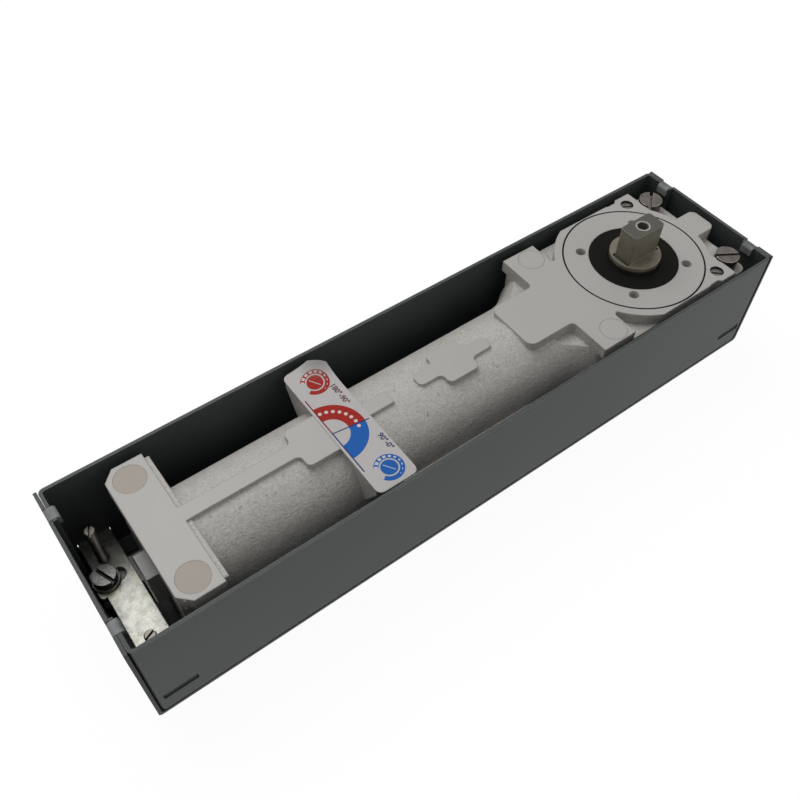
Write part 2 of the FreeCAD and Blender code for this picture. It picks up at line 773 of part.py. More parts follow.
    lug = sketch_on(body, "clamp_lug_outline", "XY_Plane", s.clamp_lug_bottom)
    lug_half = s.bar_ear_width / 2
    rectangle(lug, CLAMP_X - s.clamp_lug_reach, CLAMP_X + s.clamp_lug_root,
              s.clamp_y - lug_half, s.clamp_y + lug_half, s.cross_corner)
    pad(body, "clamp_lug", lug, s.bar_level - s.clamp_lug_bottom)

    bore = sketch_on(body, "bore_outline", "YZ_Plane", BARREL_END)
    circle(bore, 0, s.axis_level, s.bore_radius)
    pocket(body, "bore", bore, -BARREL_END - s.bore_radius, down=True)
    seat = sketch_on(body, "plug_seat_outline", "YZ_Plane", BARREL_END)
    circle(seat, 0, s.axis_level, s.plug_seat_radius)
    pocket(body, "plug_seat", seat, s.plug_seat_length, down=True)
    chamber = sketch_on(body, "chamber_outline", "XY_Plane", top)
    circle(chamber, 0, 0, s.chamber_radius)
    pocket(body, "chamber", chamber, top - s.chamber_floor)
    recess = sketch_on(body, "lid_recess_outline", "XY_Plane", top)
    circle(recess, 0, 0, s.lid_radius + s.lid_groove)
    pocket(body, "lid_recess", recess, s.lid_flange)
    floor_boss = sketch_on(body, "floor_boss_outline", "XY_Plane", s.head_bottom)
    circle(floor_boss, 0, 0, s.floor_boss_radius)
    pad(body, "floor_boss", floor_boss, s.floor_boss_top - s.head_bottom)
    lower_seat = sketch_on(body, "lower_seat_outline", "XY_Plane", s.floor_boss_top)
    circle(lower_seat, 0, 0, s.lower_journal_radius + s.bush_wall + s.seat_gap)
    pocket(body, "lower_seat", lower_seat, s.floor_boss_top - s.lower_pocket_floor)

    def drill(name, level, depth, places, radius):
        sketch = sketch_on(body, f"{name}_outline", "XY_Plane", level)
        for x, y in places:
            circle(sketch, x, y, radius)
        pocket(body, name, sketch, depth)

    def pair(x, half):
        return [(x, -half), (x, half)]

    valves = pair(s.valve_x, s.valve_half_spacing)
    head_depth = s.valve_sink + s.valve_head_height + s.valve_ring_room
    drill("valve_head_bores", top, head_depth, valves, s.valve_head_radius + s.valve_fit)
    stem_depth = s.valve_sink + s.valve_length + s.valve_ring_room
    drill("valve_stem_bores", top, stem_depth, valves, s.valve_stem_radius + s.valve_fit)
    fixings = pair(s.fixing_x, s.fixing_half_spacing)
    drill("screw_head_scallops", top, thick, fixings, s.screw_head_radius + s.head_clearance)
    drill("fixing_holes", s.ledge_level, s.ledge_level - BAR_TOP, fixings,
          s.screw_radius + s.screw_clearance)
    drill("clamp_hole", s.bar_level, s.bar_level - s.clamp_lug_bottom,
          [(CLAMP_X, s.clamp_y)], s.screw_radius + s.seat_gap)
    drill("head_disc_seats", top, s.disc_thickness,
          pair(-s.head_disc_x, s.head_disc_half_spacing), s.head_disc_radius + s.seat_gap)
    drill("foot_disc_seats", top, s.disc_thickness,
          pair(FOOT_LEFT + s.foot_width / 2, s.foot_disc_half_spacing), s.foot_disc_radius + s.seat_gap)
    nodes["closer_body"] = body


make_closer_body()


# Lid: the head's screwed cover, with the upper bush and the seal in its middle

LID_BOTTOM = s.body_top - s.lid_depth
BUSH_TOP = s.body_top - s.lid_flange
SEAL_FLOOR = s.body_top - s.seal_sink - s.seal_thickness
UPPER_BUSH_RADIUS = s.upper_journal_radius + s.bush_wall
SEAL_BORE = s.flange_radius + s.seal_gap


def make_lid():
    body = new_body("closer_lid")
    profile = sketch_on(body, "lid_profile", "XZ_Plane")
    spigot = s.chamber_radius - s.seat_gap
    groove = spigot - s.ring_cord
    groove_low = LID_BOTTOM + s.ring_cord
    outline(profile, [
        (UPPER_BUSH_RADIUS + s.seat_gap, LID_BOTTOM), (spigot, LID_BOTTOM), (spigot, groove_low),
        (groove, groove_low), (groove, groove_low + s.groove_width),
        (spigot, groove_low + s.groove_width), (spigot, BUSH_TOP), (s.lid_radius, BUSH_TOP),
        (s.lid_radius, s.body_top), (s.seal_radius + s.seat_gap, s.body_top),
        (s.seal_radius + s.seat_gap, SEAL_FLOOR), (SEAL_BORE, SEAL_FLOOR), (SEAL_BORE, BUSH_TOP),
        (UPPER_BUSH_RADIUS + s.seat_gap, BUSH_TOP)])
    revolve(body, "lid", profile, "V_Axis")
    holes = sketch_on(body, "spanner_hole_outlines", "XY_Plane", s.body_top)
    step = s.lid_hole_circle / math.sqrt(2)
    for side_x in (-1, 1):
        for side_y in (-1, 1):
            circle(holes, side_x * step, side_y * step, s.lid_hole_radius)
    pocket(body, "spanner_holes", holes, s.lid_hole_depth)
    nodes["closer_lid"] = body


make_lid()


def ring(name, inner, outer, z0, z1):
    """An upright ring on the spindle's axis."""
    nodes[name] = cut(name, rod(f"{name}_outer", outer, 0, 0, z0, z1),
                      [rod(f"{name}_inner", inner, 0, 0, z0, z1)])


ring("shaft_seal", SEAL_BORE, s.seal_radius, SEAL_FLOOR, SEAL_FLOOR + s.seal_thickness)
ring("upper_bearing", s.upper_journal_radius + s.piston_fit, UPPER_BUSH_RADIUS,
     LID_BOTTOM, BUSH_TOP)
ring("lower_bearing", s.lower_journal_radius + s.piston_fit, s.lower_journal_radius + s.bush_wall,
     s.lower_pocket_floor, s.floor_boss_top)
LID_RING_CORD = s.ring_cord / 2 - s.seat_gap
nodes["lid_o_ring"] = torus(
    "lid_o_ring", s.chamber_radius - s.seat_gap - LID_RING_CORD, LID_RING_CORD,
    0, 0, LID_BOTTOM + s.ring_cord + s.groove_width / 2)


# Spindle: journals, cam seat, flange, and the flat-sided drive block, which is milled free at its ends

CAM_LOW = s.axis_level - s.cam_thickness / 2
CAM_HIGH = s.axis_level + s.cam_thickness / 2


def drive_outline(sketch):
    half_length = s.drive_length / 2
    half_width = s.drive_width / 2
    outline(sketch, [
        (half_length, half_width - s.drive_edge), (half_length - s.drive_edge, half_width),
        (s.drive_edge - half_length, half_width), (-half_length, half_width - s.drive_edge),
        (-half_length, s.drive_edge - half_width), (s.drive_edge - half_length, -half_width),
        (half_length - s.drive_edge, -half_width), (half_length, s.drive_edge - half_width)])


def make_spindle():
    body = new_body("spindle")
    profile = sketch_on(body, "spindle_profile", "XZ_Plane")
    shoulder = s.floor_boss_top + s.seal_gap
    outline(profile, [
        (0, s.spindle_foot), (s.lower_journal_radius, s.spindle_foot),
        (s.lower_journal_radius, shoulder), (s.shaft_radius, shoulder),
        (s.shaft_radius, LID_BOTTOM - s.seal_gap), (s.upper_journal_radius, LID_BOTTOM - s.seal_gap),
        (s.upper_journal_radius, BUSH_TOP + s.seal_gap), (s.flange_radius, BUSH_TOP + s.seal_gap),
        (s.flange_radius, s.flange_top), (0, s.flange_top)])
    revolve(body, "shaft", profile, "V_Axis")
    end_slot = sketch_on(body, "end_slot_outline", "XY_Plane", s.flange_top)
    slot_side = s.drive_width / 2
    rectangle(end_slot, -s.flange_slot_half, s.flange_slot_half, -slot_side, slot_side)
    pocket(body, "end_slot", end_slot, s.flange_slot_depth)
    slot_floor = s.flange_top - s.flange_slot_depth
    block_sketch = sketch_on(body, "drive_outline", "XY_Plane", slot_floor)
    drive_outline(block_sketch)
    pad(body, "drive_block", block_sketch, s.drive_top - slot_floor)
    flats = sketch_on(body, "cam_flat_outlines", "XY_Plane", shoulder)
    for y0, y1 in ((-s.shaft_radius * 2, -s.cam_flat_half), (s.cam_flat_half, s.shaft_radius * 2)):
        rectangle(flats, -s.shaft_radius * 2, s.shaft_radius * 2, y0, y1)
    pocket(body, "cam_flats", flats, CAM_HIGH - shoulder, down=True)
    hole = sketch_on(body, "screw_hole_outline", "XY_Plane", s.drive_top)
    circle(hole, 0, 0, s.socket_screw_radius + s.seat_gap)
    pocket(body, "screw_hole", hole, s.socket_screw_length)
    nodes["spindle"] = body


make_spindle()

root3 = Size("sqrt(3)", math.sqrt(3))


def prism(name, across, x, y, z, height):
    """An upright hexagonal prism."""
    obj = doc.addObject("Part::Prism", name)
    obj.Polygon = 6
    bind(obj, "Circumradius", across / root3)
    bind(obj, "Height", height)
    return place(obj, x, y, z)


nodes["spindle_socket_screw"] = cut(
    "spindle_socket_screw",
    rod("socket_screw_body", s.socket_screw_radius, 0, 0,
        s.drive_top - s.socket_screw_length, s.drive_top),
    [prism("socket_screw_hex", s.socket_across, 0, 0, s.drive_top - s.socket_depth, s.socket_depth)])


# Heart cam: what the roller leaves when its centre moves away evenly with the spindle's turn

def cam_point(degrees, side):
    """The cam's edge where the roller touches it, with the spindle turned by so many degrees."""
    angle = math.pi - side * math.radians(degrees)
    rate = math.degrees(s.lift_per_degree.value)
    reach = s.roller_start.value + s.lift_per_degree.value * degrees
    outward = FreeCAD.Vector(math.cos(angle), math.sin(angle), 0)
    along_turn = FreeCAD.Vector(-math.sin(angle), math.cos(angle), 0) * -side
    tangent = outward * rate + along_turn * reach
    normal = FreeCAD.Vector(tangent.y, -tangent.x, 0).normalize()
    if normal.dot(outward) < 0:
        normal = -normal
    return outward * reach - normal * (s.roller_radius.value + s.cam_gap.value)


def make_cam():
    last = s.swing.value + s.swing_over.value
    steps = 14
    flanks = []
    for side in (-1, 1):
        points = [cam_point(last * i / steps, side) for i in range(steps + 1)]
        flank = Part.BSplineCurve()
        flank.interpolate(points)
        flanks.append((flank.toShape(), points))
    (back_edge, back), (front_edge, front) = flanks
    notch_middle = FreeCAD.Vector(-s.roller_start.value + s.roller_radius.value + s.cam_gap.value, 0, 0)
    notch = Part.Arc(back[0], notch_middle, front[0]).toShape()
    crown_radius = back[-1].Length
    crown = Part.Arc(back[-1], FreeCAD.Vector(crown_radius, 0, 0), front[-1]).toShape()
    wire = Part.Wire(Part.sortEdges([back_edge, crown, front_edge, notch])[0])
    blank = Part.Face(wire).extrude(Z_AXIS * s.cam_thickness.value)
    bore = Part.makeCylinder(s.shaft_radius.value + s.seat_gap.value, s.cam_thickness.value)
    half = s.cam_flat_half.value + s.seat_gap.value
    wide = s.shaft_radius.value * 2
    slab = Part.makeBox(wide * 2, half * 2, s.cam_thickness.value, FreeCAD.Vector(-wide, -half, 0))
    cam = doc.addObject("Part::Feature", "heart_cam")
    cam.Shape = blank.cut(bore.common(slab))
    place(cam, 0, 0, CAM_LOW)
    nodes["heart_cam"] = cam


make_cam()


# Roller, pin and piston, drawn with the door closed

ROLLER_X = -s.roller_start
FORK_LOW = CAM_LOW - s.fork_gap - s.fork_thickness
FORK_HIGH = CAM_HIGH + s.fork_gap + s.fork_thickness
PISTON_FACE = ROLLER_X - s.piston_face
PISTON_BACK = PISTON_FACE - s.piston_length

nodes["roller"] = cut("roller", rod("roller_outer", s.roller_radius, ROLLER_X, 0, CAM_LOW, CAM_HIGH),
                      [rod("roller_bore", s.pin_radius + s.piston_fit, ROLLER_X, 0, CAM_LOW, CAM_HIGH)])
nodes["roller_pin"] = rod("roller_pin", s.pin_radius, ROLLER_X, 0, FORK_LOW, FORK_HIGH)


def make_piston():
    body = new_body("piston")
    outer = s.bore_radius - s.piston_fit
    ring_right = PISTON_FACE - s.ring_from_face
    ring_left = ring_right - s.ring_width - s.piston_fit * 2
    cartridge = s.valve_cartridge_radius + s.seat_gap
    spigot_end = PISTON_BACK - s.piston_spigot_length
    cartridge_end = spigot_end + s.valve_cartridge_length
    profile = sketch_on(body, "piston_profile", "XZ_Plane", 0, s.axis_level)
    outline(profile, [
        (PISTON_FACE, s.valve_passage_radius), (PISTON_FACE, outer), (ring_right, outer),
        (ring_right, outer - s.ring_depth), (ring_left, outer - s.ring_depth), (ring_left, outer),
        (PISTON_BACK, outer), (PISTON_BACK, s.piston_spigot_radius),
        (spigot_end, s.piston_spigot_radius), (spigot_end, cartridge),
        (cartridge_end, cartridge), (cartridge_end, s.valve_passage_radius)])
    revolve(body, "crown", profile, "H_Axis")
    tip = ROLLER_X + s.fork_half
    for word, level in (("lower", FORK_LOW), ("upper", CAM_HIGH + s.fork_gap)):
        cheek = sketch_on(body, f"{word}_cheek_outline", "XY_Plane", level)
        outline(cheek, [
            (PISTON_FACE - s.fork_thickness, -s.fork_half), (tip, -s.fork_half, s.fork_corner),
            (tip, s.fork_half, s.fork_corner), (PISTON_FACE - s.fork_thickness, s.fork_half)])
        pad(body, f"{word}_cheek", cheek, s.fork_thickness)
    hole = sketch_on(body, "pin_hole_outline", "XY_Plane", FORK_HIGH)
    circle(hole, ROLLER_X, 0, s.pin_radius + s.seat_gap)
    pocket(body, "pin_hole", hole, FORK_HIGH - FORK_LOW)
    nodes["piston"] = body

    nodes["piston_ring"] = cut(
        "piston_ring",
        bar("piston_ring_outer", outer, ring_left + s.piston_fit, ring_right - s.piston_fit,
            0, s.axis_level),
        [bar("piston_ring_inner", outer - s.ring_depth + s.seat_gap, ring_left, ring_right,
             0, s.axis_level)])

    wall = s.valve_passage_radius
    room = s.valve_ball_radius + s.cam_gap
    nodes["check_valve_body"] = cut(
        "check_valve_body",
        bar("check_valve_outer", s.valve_cartridge_radius, spigot_end, cartridge_end, 0, s.axis_level),
        [bar("check_valve_room", room, spigot_end + wall, cartridge_end - wall, 0, s.axis_level),
         bar("check_valve_passage", wall, spigot_end, cartridge_end, 0, s.axis_level)])
    ball = doc.addObject("Part::Sphere", "check_valve_ball")
    bind(ball, "Radius", s.valve_ball_radius)
    nodes["check_valve_ball"] = place(
        ball, cartridge_end - wall - s.valve_ball_radius - s.seat_gap, 0, s.axis_level)


make_piston()


# End plug with its hexagon, spring seat and spring

PLUG_FACE = BARREL_END + s.plug_seat_length
SEAT_FACE = PLUG_FACE + s.spring_seat_thickness


def make_plug():
    radius = s.plug_seat_radius - s.seat_gap
    groove_left = BARREL_END + s.plug_groove_offset
    groove_right = groove_left + s.groove_width
    hexagon = doc.addObject("Part::Prism", "plug_hexagon")
    hexagon.Polygon = 6
    bind(hexagon, "Circumradius", s.hex_across / root3)
    bind(hexagon, "Height", s.hex_length)
    across = FreeCAD.Rotation(Y_AXIS, 90)
    turn = FreeCAD.Rotation(X_AXIS, s.hex_turn.value)
    hexagon.Placement = FreeCAD.Placement(FreeCAD.Vector(), turn * across)
    place(hexagon, BARREL_END - s.hex_length, 0, s.axis_level)
    blank = fuse("plug_blank", [
        bar("plug_disc", radius, BARREL_END, PLUG_FACE, 0, s.axis_level), hexagon])
    groove = cut("plug_groove",
                 bar("plug_groove_outer", radius + s.ring_cord, groove_left, groove_right,
                     0, s.axis_level),
                 [bar("plug_groove_inner", radius - s.ring_cord, groove_left, groove_right,
                      0, s.axis_level)])
    nodes["end_plug"] = cut("end_plug", blank, [groove])
    cord = s.ring_cord / 2 - s.seat_gap
    nodes["end_plug_o_ring"] = torus(
        "end_plug_o_ring", radius - cord, cord, groove_left + s.groove_width / 2,
        0, s.axis_level, upright=False)


make_plug()
nodes["spring_seat"] = fuse("spring_seat", [
    bar("spring_seat_disc", s.bore_radius - s.spring_end_gap * 2, PLUG_FACE, SEAT_FACE, 0, s.axis_level),
    bar("spring_seat_hub", s.spring_seat_hub, PLUG_FACE, SEAT_FACE + s.spring_seat_thickness * 2,
        0, s.axis_level)])


def make_spring():
    start = SEAT_FACE.value + s.spring_end_gap.value + s.wire.value / 2
    end = PISTON_BACK.value - s.spring_end_gap.value - s.wire.value / 2
    length = end - start
    radius = s.spring_mean_radius.value
    path = Part.Wire(Part.makeHelix(length / s.spring_turns.value, length, radius).Edges)
    rise = length / s.spring_turns.value / (2 * math.pi * radius)
    heading = FreeCAD.Vector(0, 1, rise)
    section = Part.Wire(Part.makeCircle(s.wire.value / 2, FreeCAD.Vector(radius, 0, 0), heading))
    coil = path.makePipeShell([section], True, True)
    spring = doc.addObject("Part::Feature", "closing_spring")
    spring.Shape = coil
    spring.Placement = FreeCAD.Placement(
        FreeCAD.Vector(start, 0, s.axis_level.value), FreeCAD.Rotation(Y_AXIS, 90))
    nodes["closing_spring"] = spring


make_spring()


# Slotted screws

def slot(name, x, y, top, depth, width, reach, degrees):
    """The slot's cutter, turned about the screw's axis."""
    obj = doc.addObject("Part::Box", name)
    bind(obj, "Length", reach * 2)
    bind(obj, "Width", width)
    bind(obj, "Height", depth * 2)
    obj.Placement = FreeCAD.Placement(FreeCAD.Vector(), FreeCAD.Rotation(Z_AXIS, degrees))
    cosine = math.cos(math.radians(degrees))
    sine = math.sin(math.radians(degrees))
    return place(obj, x - reach * cosine + width * (sine / 2),
                 y - reach * sine - width * (cosine / 2), top - depth)


def cheese_head(name, x, y, seat, head_radius, head_height, tip, degrees):
    blank = fuse(f"{name}_blank", [
        rod(f"{name}_head", head_radius, x, y, seat, seat + head_height),
        rod(f"{name}_shank", s.screw_radius, x, y, tip, seat)])
    return cut(name, blank, [slot(f"{name}_slot", x, y, seat + head_height, s.screw_slot_depth,
                                  s.screw_slot, head_radius + s.screw_slot, degrees)])


fixings = doc.addObject("Part::Compound", "body_fixing_screws")
fixings.Links = [
    cheese_head("fixing_front", s.fixing_x, -s.fixing_half_spacing, s.ledge_level,
                s.screw_head_radius, s.screw_head_height, s.bar_level, -32),
    cheese_head("fixing_back", s.fixing_x, s.fixing_half_spacing, s.ledge_level,
                s.screw_head_radius, s.screw_head_height, s.bar_level, 41)]
nodes["body_fixing_screws"] = fixings

nodes["rear_clamp_washer"] = cut(
    "rear_clamp_washer",
    rod("washer_outer", s.washer_radius, CLAMP_X, s.clamp_y, BAR_TOP, BAR_TOP + s.washer_thickness),
    [rod("washer_hole", s.screw_radius + s.screw_clearance, CLAMP_X, s.clamp_y,
         BAR_TOP, BAR_TOP + s.washer_thickness)])
nodes["rear_clamp_screw"] = cheese_head(
    "rear_clamp_screw", CLAMP_X, s.clamp_y, BAR_TOP + s.washer_thickness, s.clamp_head_radius,
    s.clamp_head_height, s.clamp_lug_bottom, -68)

for word, side, degrees in (("front", -1, 23), ("back", 1, 68)):
    name = f"levelling_screw_{word}"
    foot = s.box_sheet + s.stud_foot_gap
    y = side * s.stud_half_spacing
    nodes[name] = cut(name, rod(f"{name}_rod", s.stud_radius, STUD_X, y, foot, s.stud_top),
                      [slot(f"{name}_slot", STUD_X, y, s.stud_top, s.stud_slot_depth,
                            s.stud_slot, s.stud_radius + s.stud_slot, degrees)])


# Regulating valves, each with its sealing ring under the head

def make_valve(name, ring_name, side, degrees):
    y = side * s.valve_half_spacing
    top = s.body_top - s.valve_sink
    head_low = top - s.valve_head_height
    point = doc.addObject("Part::Cone", f"{name}_point")
    bind(point, "Radius1", s.valve_stem_radius / 4)
    bind(point, "Radius2", s.valve_stem_radius)
    bind(point, "Height", s.valve_stem_radius * 2)
    place(point, s.valve_x, y, top - s.valve_length)
    blank = fuse(f"{name}_blank", [
        rod(f"{name}_head", s.valve_head_radius, s.valve_x, y, head_low, top),
        rod(f"{name}_stem", s.valve_stem_radius, s.valve_x, y,
            top - s.valve_length + s.valve_stem_radius * 2, head_low), point])
    nodes[name] = cut(name, blank, [slot(f"{name}_slot", s.valve_x, y, top, s.stud_slot_depth,
                                         s.stud_slot, s.valve_head_radius + s.stud_slot, degrees)])
    bore = s.valve_head_radius + s.valve_fit
    middle = (s.valve_stem_radius + bore) / 2
    cord = (bore - s.valve_stem_radius) / 2 - s.valve_fit
    nodes[ring_name] = torus(ring_name, middle, cord, s.valve_x, y, head_low - cord - s.valve_fit)


make_valve("closing_speed_valve", "closing_valve_o_ring", -1, -45)
make_valve("latching_speed_valve", "latching_valve_o_ring", 1, -30)


# Flush discs and the setting label

def make_discs(name, x, half, radius):
    group = doc.addObject("Part::Compound", name)
    low = s.body_top - s.disc_thickness
    group.Links = [rod(f"{name}_front", radius, x, -half, low, s.body_top),
                   rod(f"{name}_back", radius, x, half, low, s.body_top)]
    nodes[name] = group


make_discs("head_core_plugs", -s.head_disc_x, s.head_disc_half_spacing, s.head_disc_radius)
make_discs("foot_plugs", FOOT_LEFT + s.foot_width / 2, s.foot_disc_half_spacing, s.foot_disc_radius)


def make_label():
    body = new_body("setting_label")
    sketch = sketch_on(body, "label_outline", "XY_Plane", s.body_top)
    rectangle(sketch, -s.label_left, -s.label_right, s.label_front_gap - WALL_INNER,
              WALL_INNER - s.label_back_gap, s.label_corner)
    pad(body, "label_sheet", sketch, s.label_thickness)
    nodes["setting_label"] = body


make_label()


# Checks and the pieces' files

doc.recompute()
failed = [obj.Name for obj in doc.Objects if "Invalid" in obj.State or "Error" in obj.State]
if failed:
    raise ValueError(f"these objects failed: {failed}")
for name, obj in nodes.items():
    obj.Label = name
    if obj.Shape.isNull() or not obj.Shape.isValid():
        raise ValueError(f"{name} has no valid shape")

os.makedirs("parts", exist_ok=True)
for name, obj in nodes.items():
    obj.Shape.exportStep(os.path.join("parts", f"{name}.step"))
    print(name, round(obj.Shape.Volume, 1), len(obj.Shape.Solids))
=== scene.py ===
"""Floor spring: the finished look of a hydraulic door closer in its sheet steel floor box.

Metres, +Z up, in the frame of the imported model, whose origin lies under the spindle.
"""
import math

import bpy
import numpy as np
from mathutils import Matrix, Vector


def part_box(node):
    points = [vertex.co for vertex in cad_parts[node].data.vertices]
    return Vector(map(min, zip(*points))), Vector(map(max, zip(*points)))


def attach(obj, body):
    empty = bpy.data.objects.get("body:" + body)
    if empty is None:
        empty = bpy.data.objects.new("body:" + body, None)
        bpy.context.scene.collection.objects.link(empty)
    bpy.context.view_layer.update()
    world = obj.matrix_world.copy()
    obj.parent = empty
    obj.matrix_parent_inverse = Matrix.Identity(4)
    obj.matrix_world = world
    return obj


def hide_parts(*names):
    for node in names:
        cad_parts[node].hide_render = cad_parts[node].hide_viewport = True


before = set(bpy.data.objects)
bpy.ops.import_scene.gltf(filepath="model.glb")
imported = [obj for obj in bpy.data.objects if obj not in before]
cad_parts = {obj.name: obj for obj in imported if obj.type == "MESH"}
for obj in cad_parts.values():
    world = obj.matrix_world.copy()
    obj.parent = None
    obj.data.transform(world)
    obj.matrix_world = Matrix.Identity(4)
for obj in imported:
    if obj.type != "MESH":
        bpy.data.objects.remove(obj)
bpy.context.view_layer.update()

MM = 0.001


# Floor box. A tray of dark coated sheet steel, whose ends are bent up, and two side walls, whose
# upright edges are bent in. Cut edges and bends are rubbed lighter. The tray's tabs hook over the
# walls' bent edges and hold the sheets together.

class Field:
    """A value that changes over a surface: an output socket, whose arithmetic adds Math nodes."""

    def __init__(self, finish, socket):
        self.finish = finish
        self.socket = socket

    def maths(self, operation, first, second=0.0):
        """A Math node on two values, each a field or a number."""
        values = {0: first, 1: second}
        return self.finish.node("ShaderNodeMath", {"operation": operation}, values)

    def __add__(self, other):
        return self.maths("ADD", self, other)

    def __radd__(self, other):
        return self.maths("ADD", other, self)

    def __sub__(self, other):
        return self.maths("SUBTRACT", self, other)

    def __rsub__(self, other):
        return self.maths("SUBTRACT", other, self)

    def __mul__(self, other):
        return self.maths("MULTIPLY", self, other)

    def __gt__(self, other):
        return self.maths("GREATER_THAN", self, other)

    def __lt__(self, other):
        return self.maths("LESS_THAN", self, other)

    def __abs__(self):
        return self.maths("ABSOLUTE", self)

    def within(self, centre, reach):
        """1 where the value is less than reach away from centre."""
        return abs(self - centre) < reach


class Finish:
    """A material whose nodes are added one at a time."""

    # A mix node's sockets for two colours, and for the colour that it gives.
    MIX_COLOURS = (6, 7)
    MIX_RESULT = 2

    def __init__(self, name, **fixed):
        self.material = bpy.data.materials.new(name)
        self.material.use_nodes = True
        self.tree = self.material.node_tree
        self.shader = self.tree.nodes["Principled BSDF"]
        for socket, value in fixed.items():
            self.shader.inputs[socket.replace("_", " ")].default_value = value
        self.place = self.node("ShaderNodeTexCoord", output="Object")

    def node(self, kind, settings=None, values=None, output=0):
        """One node: its settings are set first, and then its sockets are set or linked."""
        node = self.tree.nodes.new(kind)
        for setting, value in (settings or {}).items():
            setattr(node, setting, value)
        for socket, value in (values or {}).items():
            if isinstance(value, Field):
                self.tree.links.new(value.socket, node.inputs[socket])
            else:
                node.inputs[socket].default_value = value
        return Field(self, node.outputs[output])

    def link(self, socket, field):
        """Lets the field set one of the shader's inputs."""
        self.tree.links.new(field.socket, self.shader.inputs[socket])

    def noise(self, scale, detail=2.0, roughness=0.5):
        """Cloudy noise from 0 to 1, with so many clouds to the metre."""
        values = {"Vector": self.place, "Scale": scale, "Detail": detail, "Roughness": roughness}
        return self.node("ShaderNodeTexNoise", None, values)

    def blend(self, share, first, second):
        """A colour that goes from the first to the second as the share goes from 0 to 1. Each is a
        field, or its red, green and blue."""
        values = {"Factor": share}
        for socket, colour in zip(self.MIX_COLOURS, (first, second)):
            values[socket] = colour if isinstance(colour, Field) else (*colour, 1.0)
        settings = {"data_type": "RGBA", "clamp_factor": True}
        return self.node("ShaderNodeMix", settings, values, output=self.MIX_RESULT)

    def step(self, field, low, high):
        """0 below low, 1 above high, and smooth between."""
        settings = {"interpolation_type": "SMOOTHSTEP"}
        values = {"Value": field, "From Min": low, "From Max": high}
        return self.node("ShaderNodeMapRange", settings, values)

    def axis(self, name, vector=None):
        """One part of a vector, which is the place in the scene unless it is given."""
        return self.node("ShaderNodeSeparateXYZ", None, {"Vector": vector or self.place}, output=name)

    def length(self, across, along):
        """The square root of across squared plus along squared."""
        squares = across * across + along * along
        return self.node("ShaderNodeMath", {"operation": "SQRT"}, {0: squares})

    def radius(self, x=0.0, y=0.0):
        """The distance from the upright axis through that place."""
        return self.length(self.axis("X") - x, self.axis("Y") - y)

    def softened(self, radius):
        """The surface's normal with its edges rounded by that radius."""
        return self.node("ShaderNodeBevel", {"samples": 4}, {"Radius": radius})

    def rubbed(self, radius):
        """1 on the edges and 0 on the flats: how far the rounded normal leans from the face's own."""
        flat = self.node("ShaderNodeNewGeometry", output="Normal")
        values = {0: self.softened(radius), 1: flat}
        lean = self.node("ShaderNodeVectorMath", {"operation": "DOT_PRODUCT"}, values, output="Value")
        return self.step(1.0 - lean, 0.02, 0.2)

    def relief(self, height, distance, normal=None):
        """Makes the shader's normal follow a height field, of that depth in metres."""
        values = {"Height": height, "Distance": distance, "Strength": 1.0}
        if normal:
            values["Normal"] = normal
        self.link("Normal", self.node("ShaderNodeBump", None, values))


def dress(node, finish):
    """Gives a CAD node its finish."""
    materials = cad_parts[node].data.materials
    materials.clear()
    materials.append(finish.material)


HOOK_MIDDLE = 28.0 * MM
HOOK_HALF_WIDTH = 3.4 * MM
HOOK_FOOT = 52.5 * MM
HOOK_TOP = 54.0 * MM
TRAY_EDGE_IN = 39.3 * MM
TRAY_EDGE_OUT = 39.8 * MM
TRAY_FLOOR_TOP = 3.0 * MM
SHEET_EDGE = 0.45 * MM


def coated_steel(name, tray=False):
    """Dark grey-green coating with clouds, fine grain and rubbed edges. The tray's hooks are rubbed
    lighter where they were bent over, and its cut edges in the joint beside the walls get a near black
    painted shade."""
    finish = Finish(name, Specular_IOR_Level=0.35)
    clouds = finish.noise(14.0, 3.0)
    grain = finish.noise(2600.0, 2.0)
    shade = finish.step(clouds, 0.3, 0.7) * 0.8 + grain * 0.2
    coat = finish.blend(shade, (0.026, 0.032, 0.031), (0.047, 0.054, 0.053))
    streaks = finish.noise(90.0, 4.0, 0.7)
    worn = finish.rubbed(SHEET_EDGE) * finish.step(streaks, 0.3, 0.55)
    coat = finish.blend(worn, coat, (0.23, 0.24, 0.235))
    dust = finish.step(finish.noise(420.0, 5.0, 0.75), 0.66, 0.74)
    coat = finish.blend(dust * 0.2, coat, (0.16, 0.16, 0.15))
    if tray:
        side = abs(finish.axis("Y"))
        height = finish.axis("Z")
        hook = side.within(HOOK_MIDDLE, HOOK_HALF_WIDTH) * finish.step(height, HOOK_FOOT, HOOK_TOP)
        coat = finish.blend(hook * finish.step(streaks, 0.25, 0.6), coat, (0.17, 0.175, 0.175))
        # Painted shade: near black on the tray's cut edges in the joint beside the walls.
        joint_shade = finish.step(side, TRAY_EDGE_IN, TRAY_EDGE_OUT) * (height > TRAY_FLOOR_TOP)
        coat = finish.blend(joint_shade, coat, (0.006, 0.007, 0.007))
    finish.link("Base Color", coat)
    finish.link("Roughness", 0.46 + clouds * 0.14 - worn * 0.12 + dust * 0.1)
    finish.relief(grain * 0.6 + streaks * 0.4, 0.02 * MM, finish.softened(SHEET_EDGE))
    return finish


dress("box_tray", coated_steel("tray_coating", tray=True))
WALL_COATING = coated_steel("wall_coating")
for sheet in ("box_wall_front", "box_wall_back"):
    dress(sheet, WALL_COATING)


# Crossbars. Two flat zinc plated bars that lie in slots of the side walls and carry the closer.
# The plating is mottled, with dull spots and fine scratches.

BACK_SHADE_START = 12.0 * MM
BACK_SHADE_END = 34.0 * MM
BACK_SHADE_RAGGED = 12.0 * MM
SLOT_SHADE_START = 38.7 * MM
SLOT_SHADE_END = 39.1 * MM


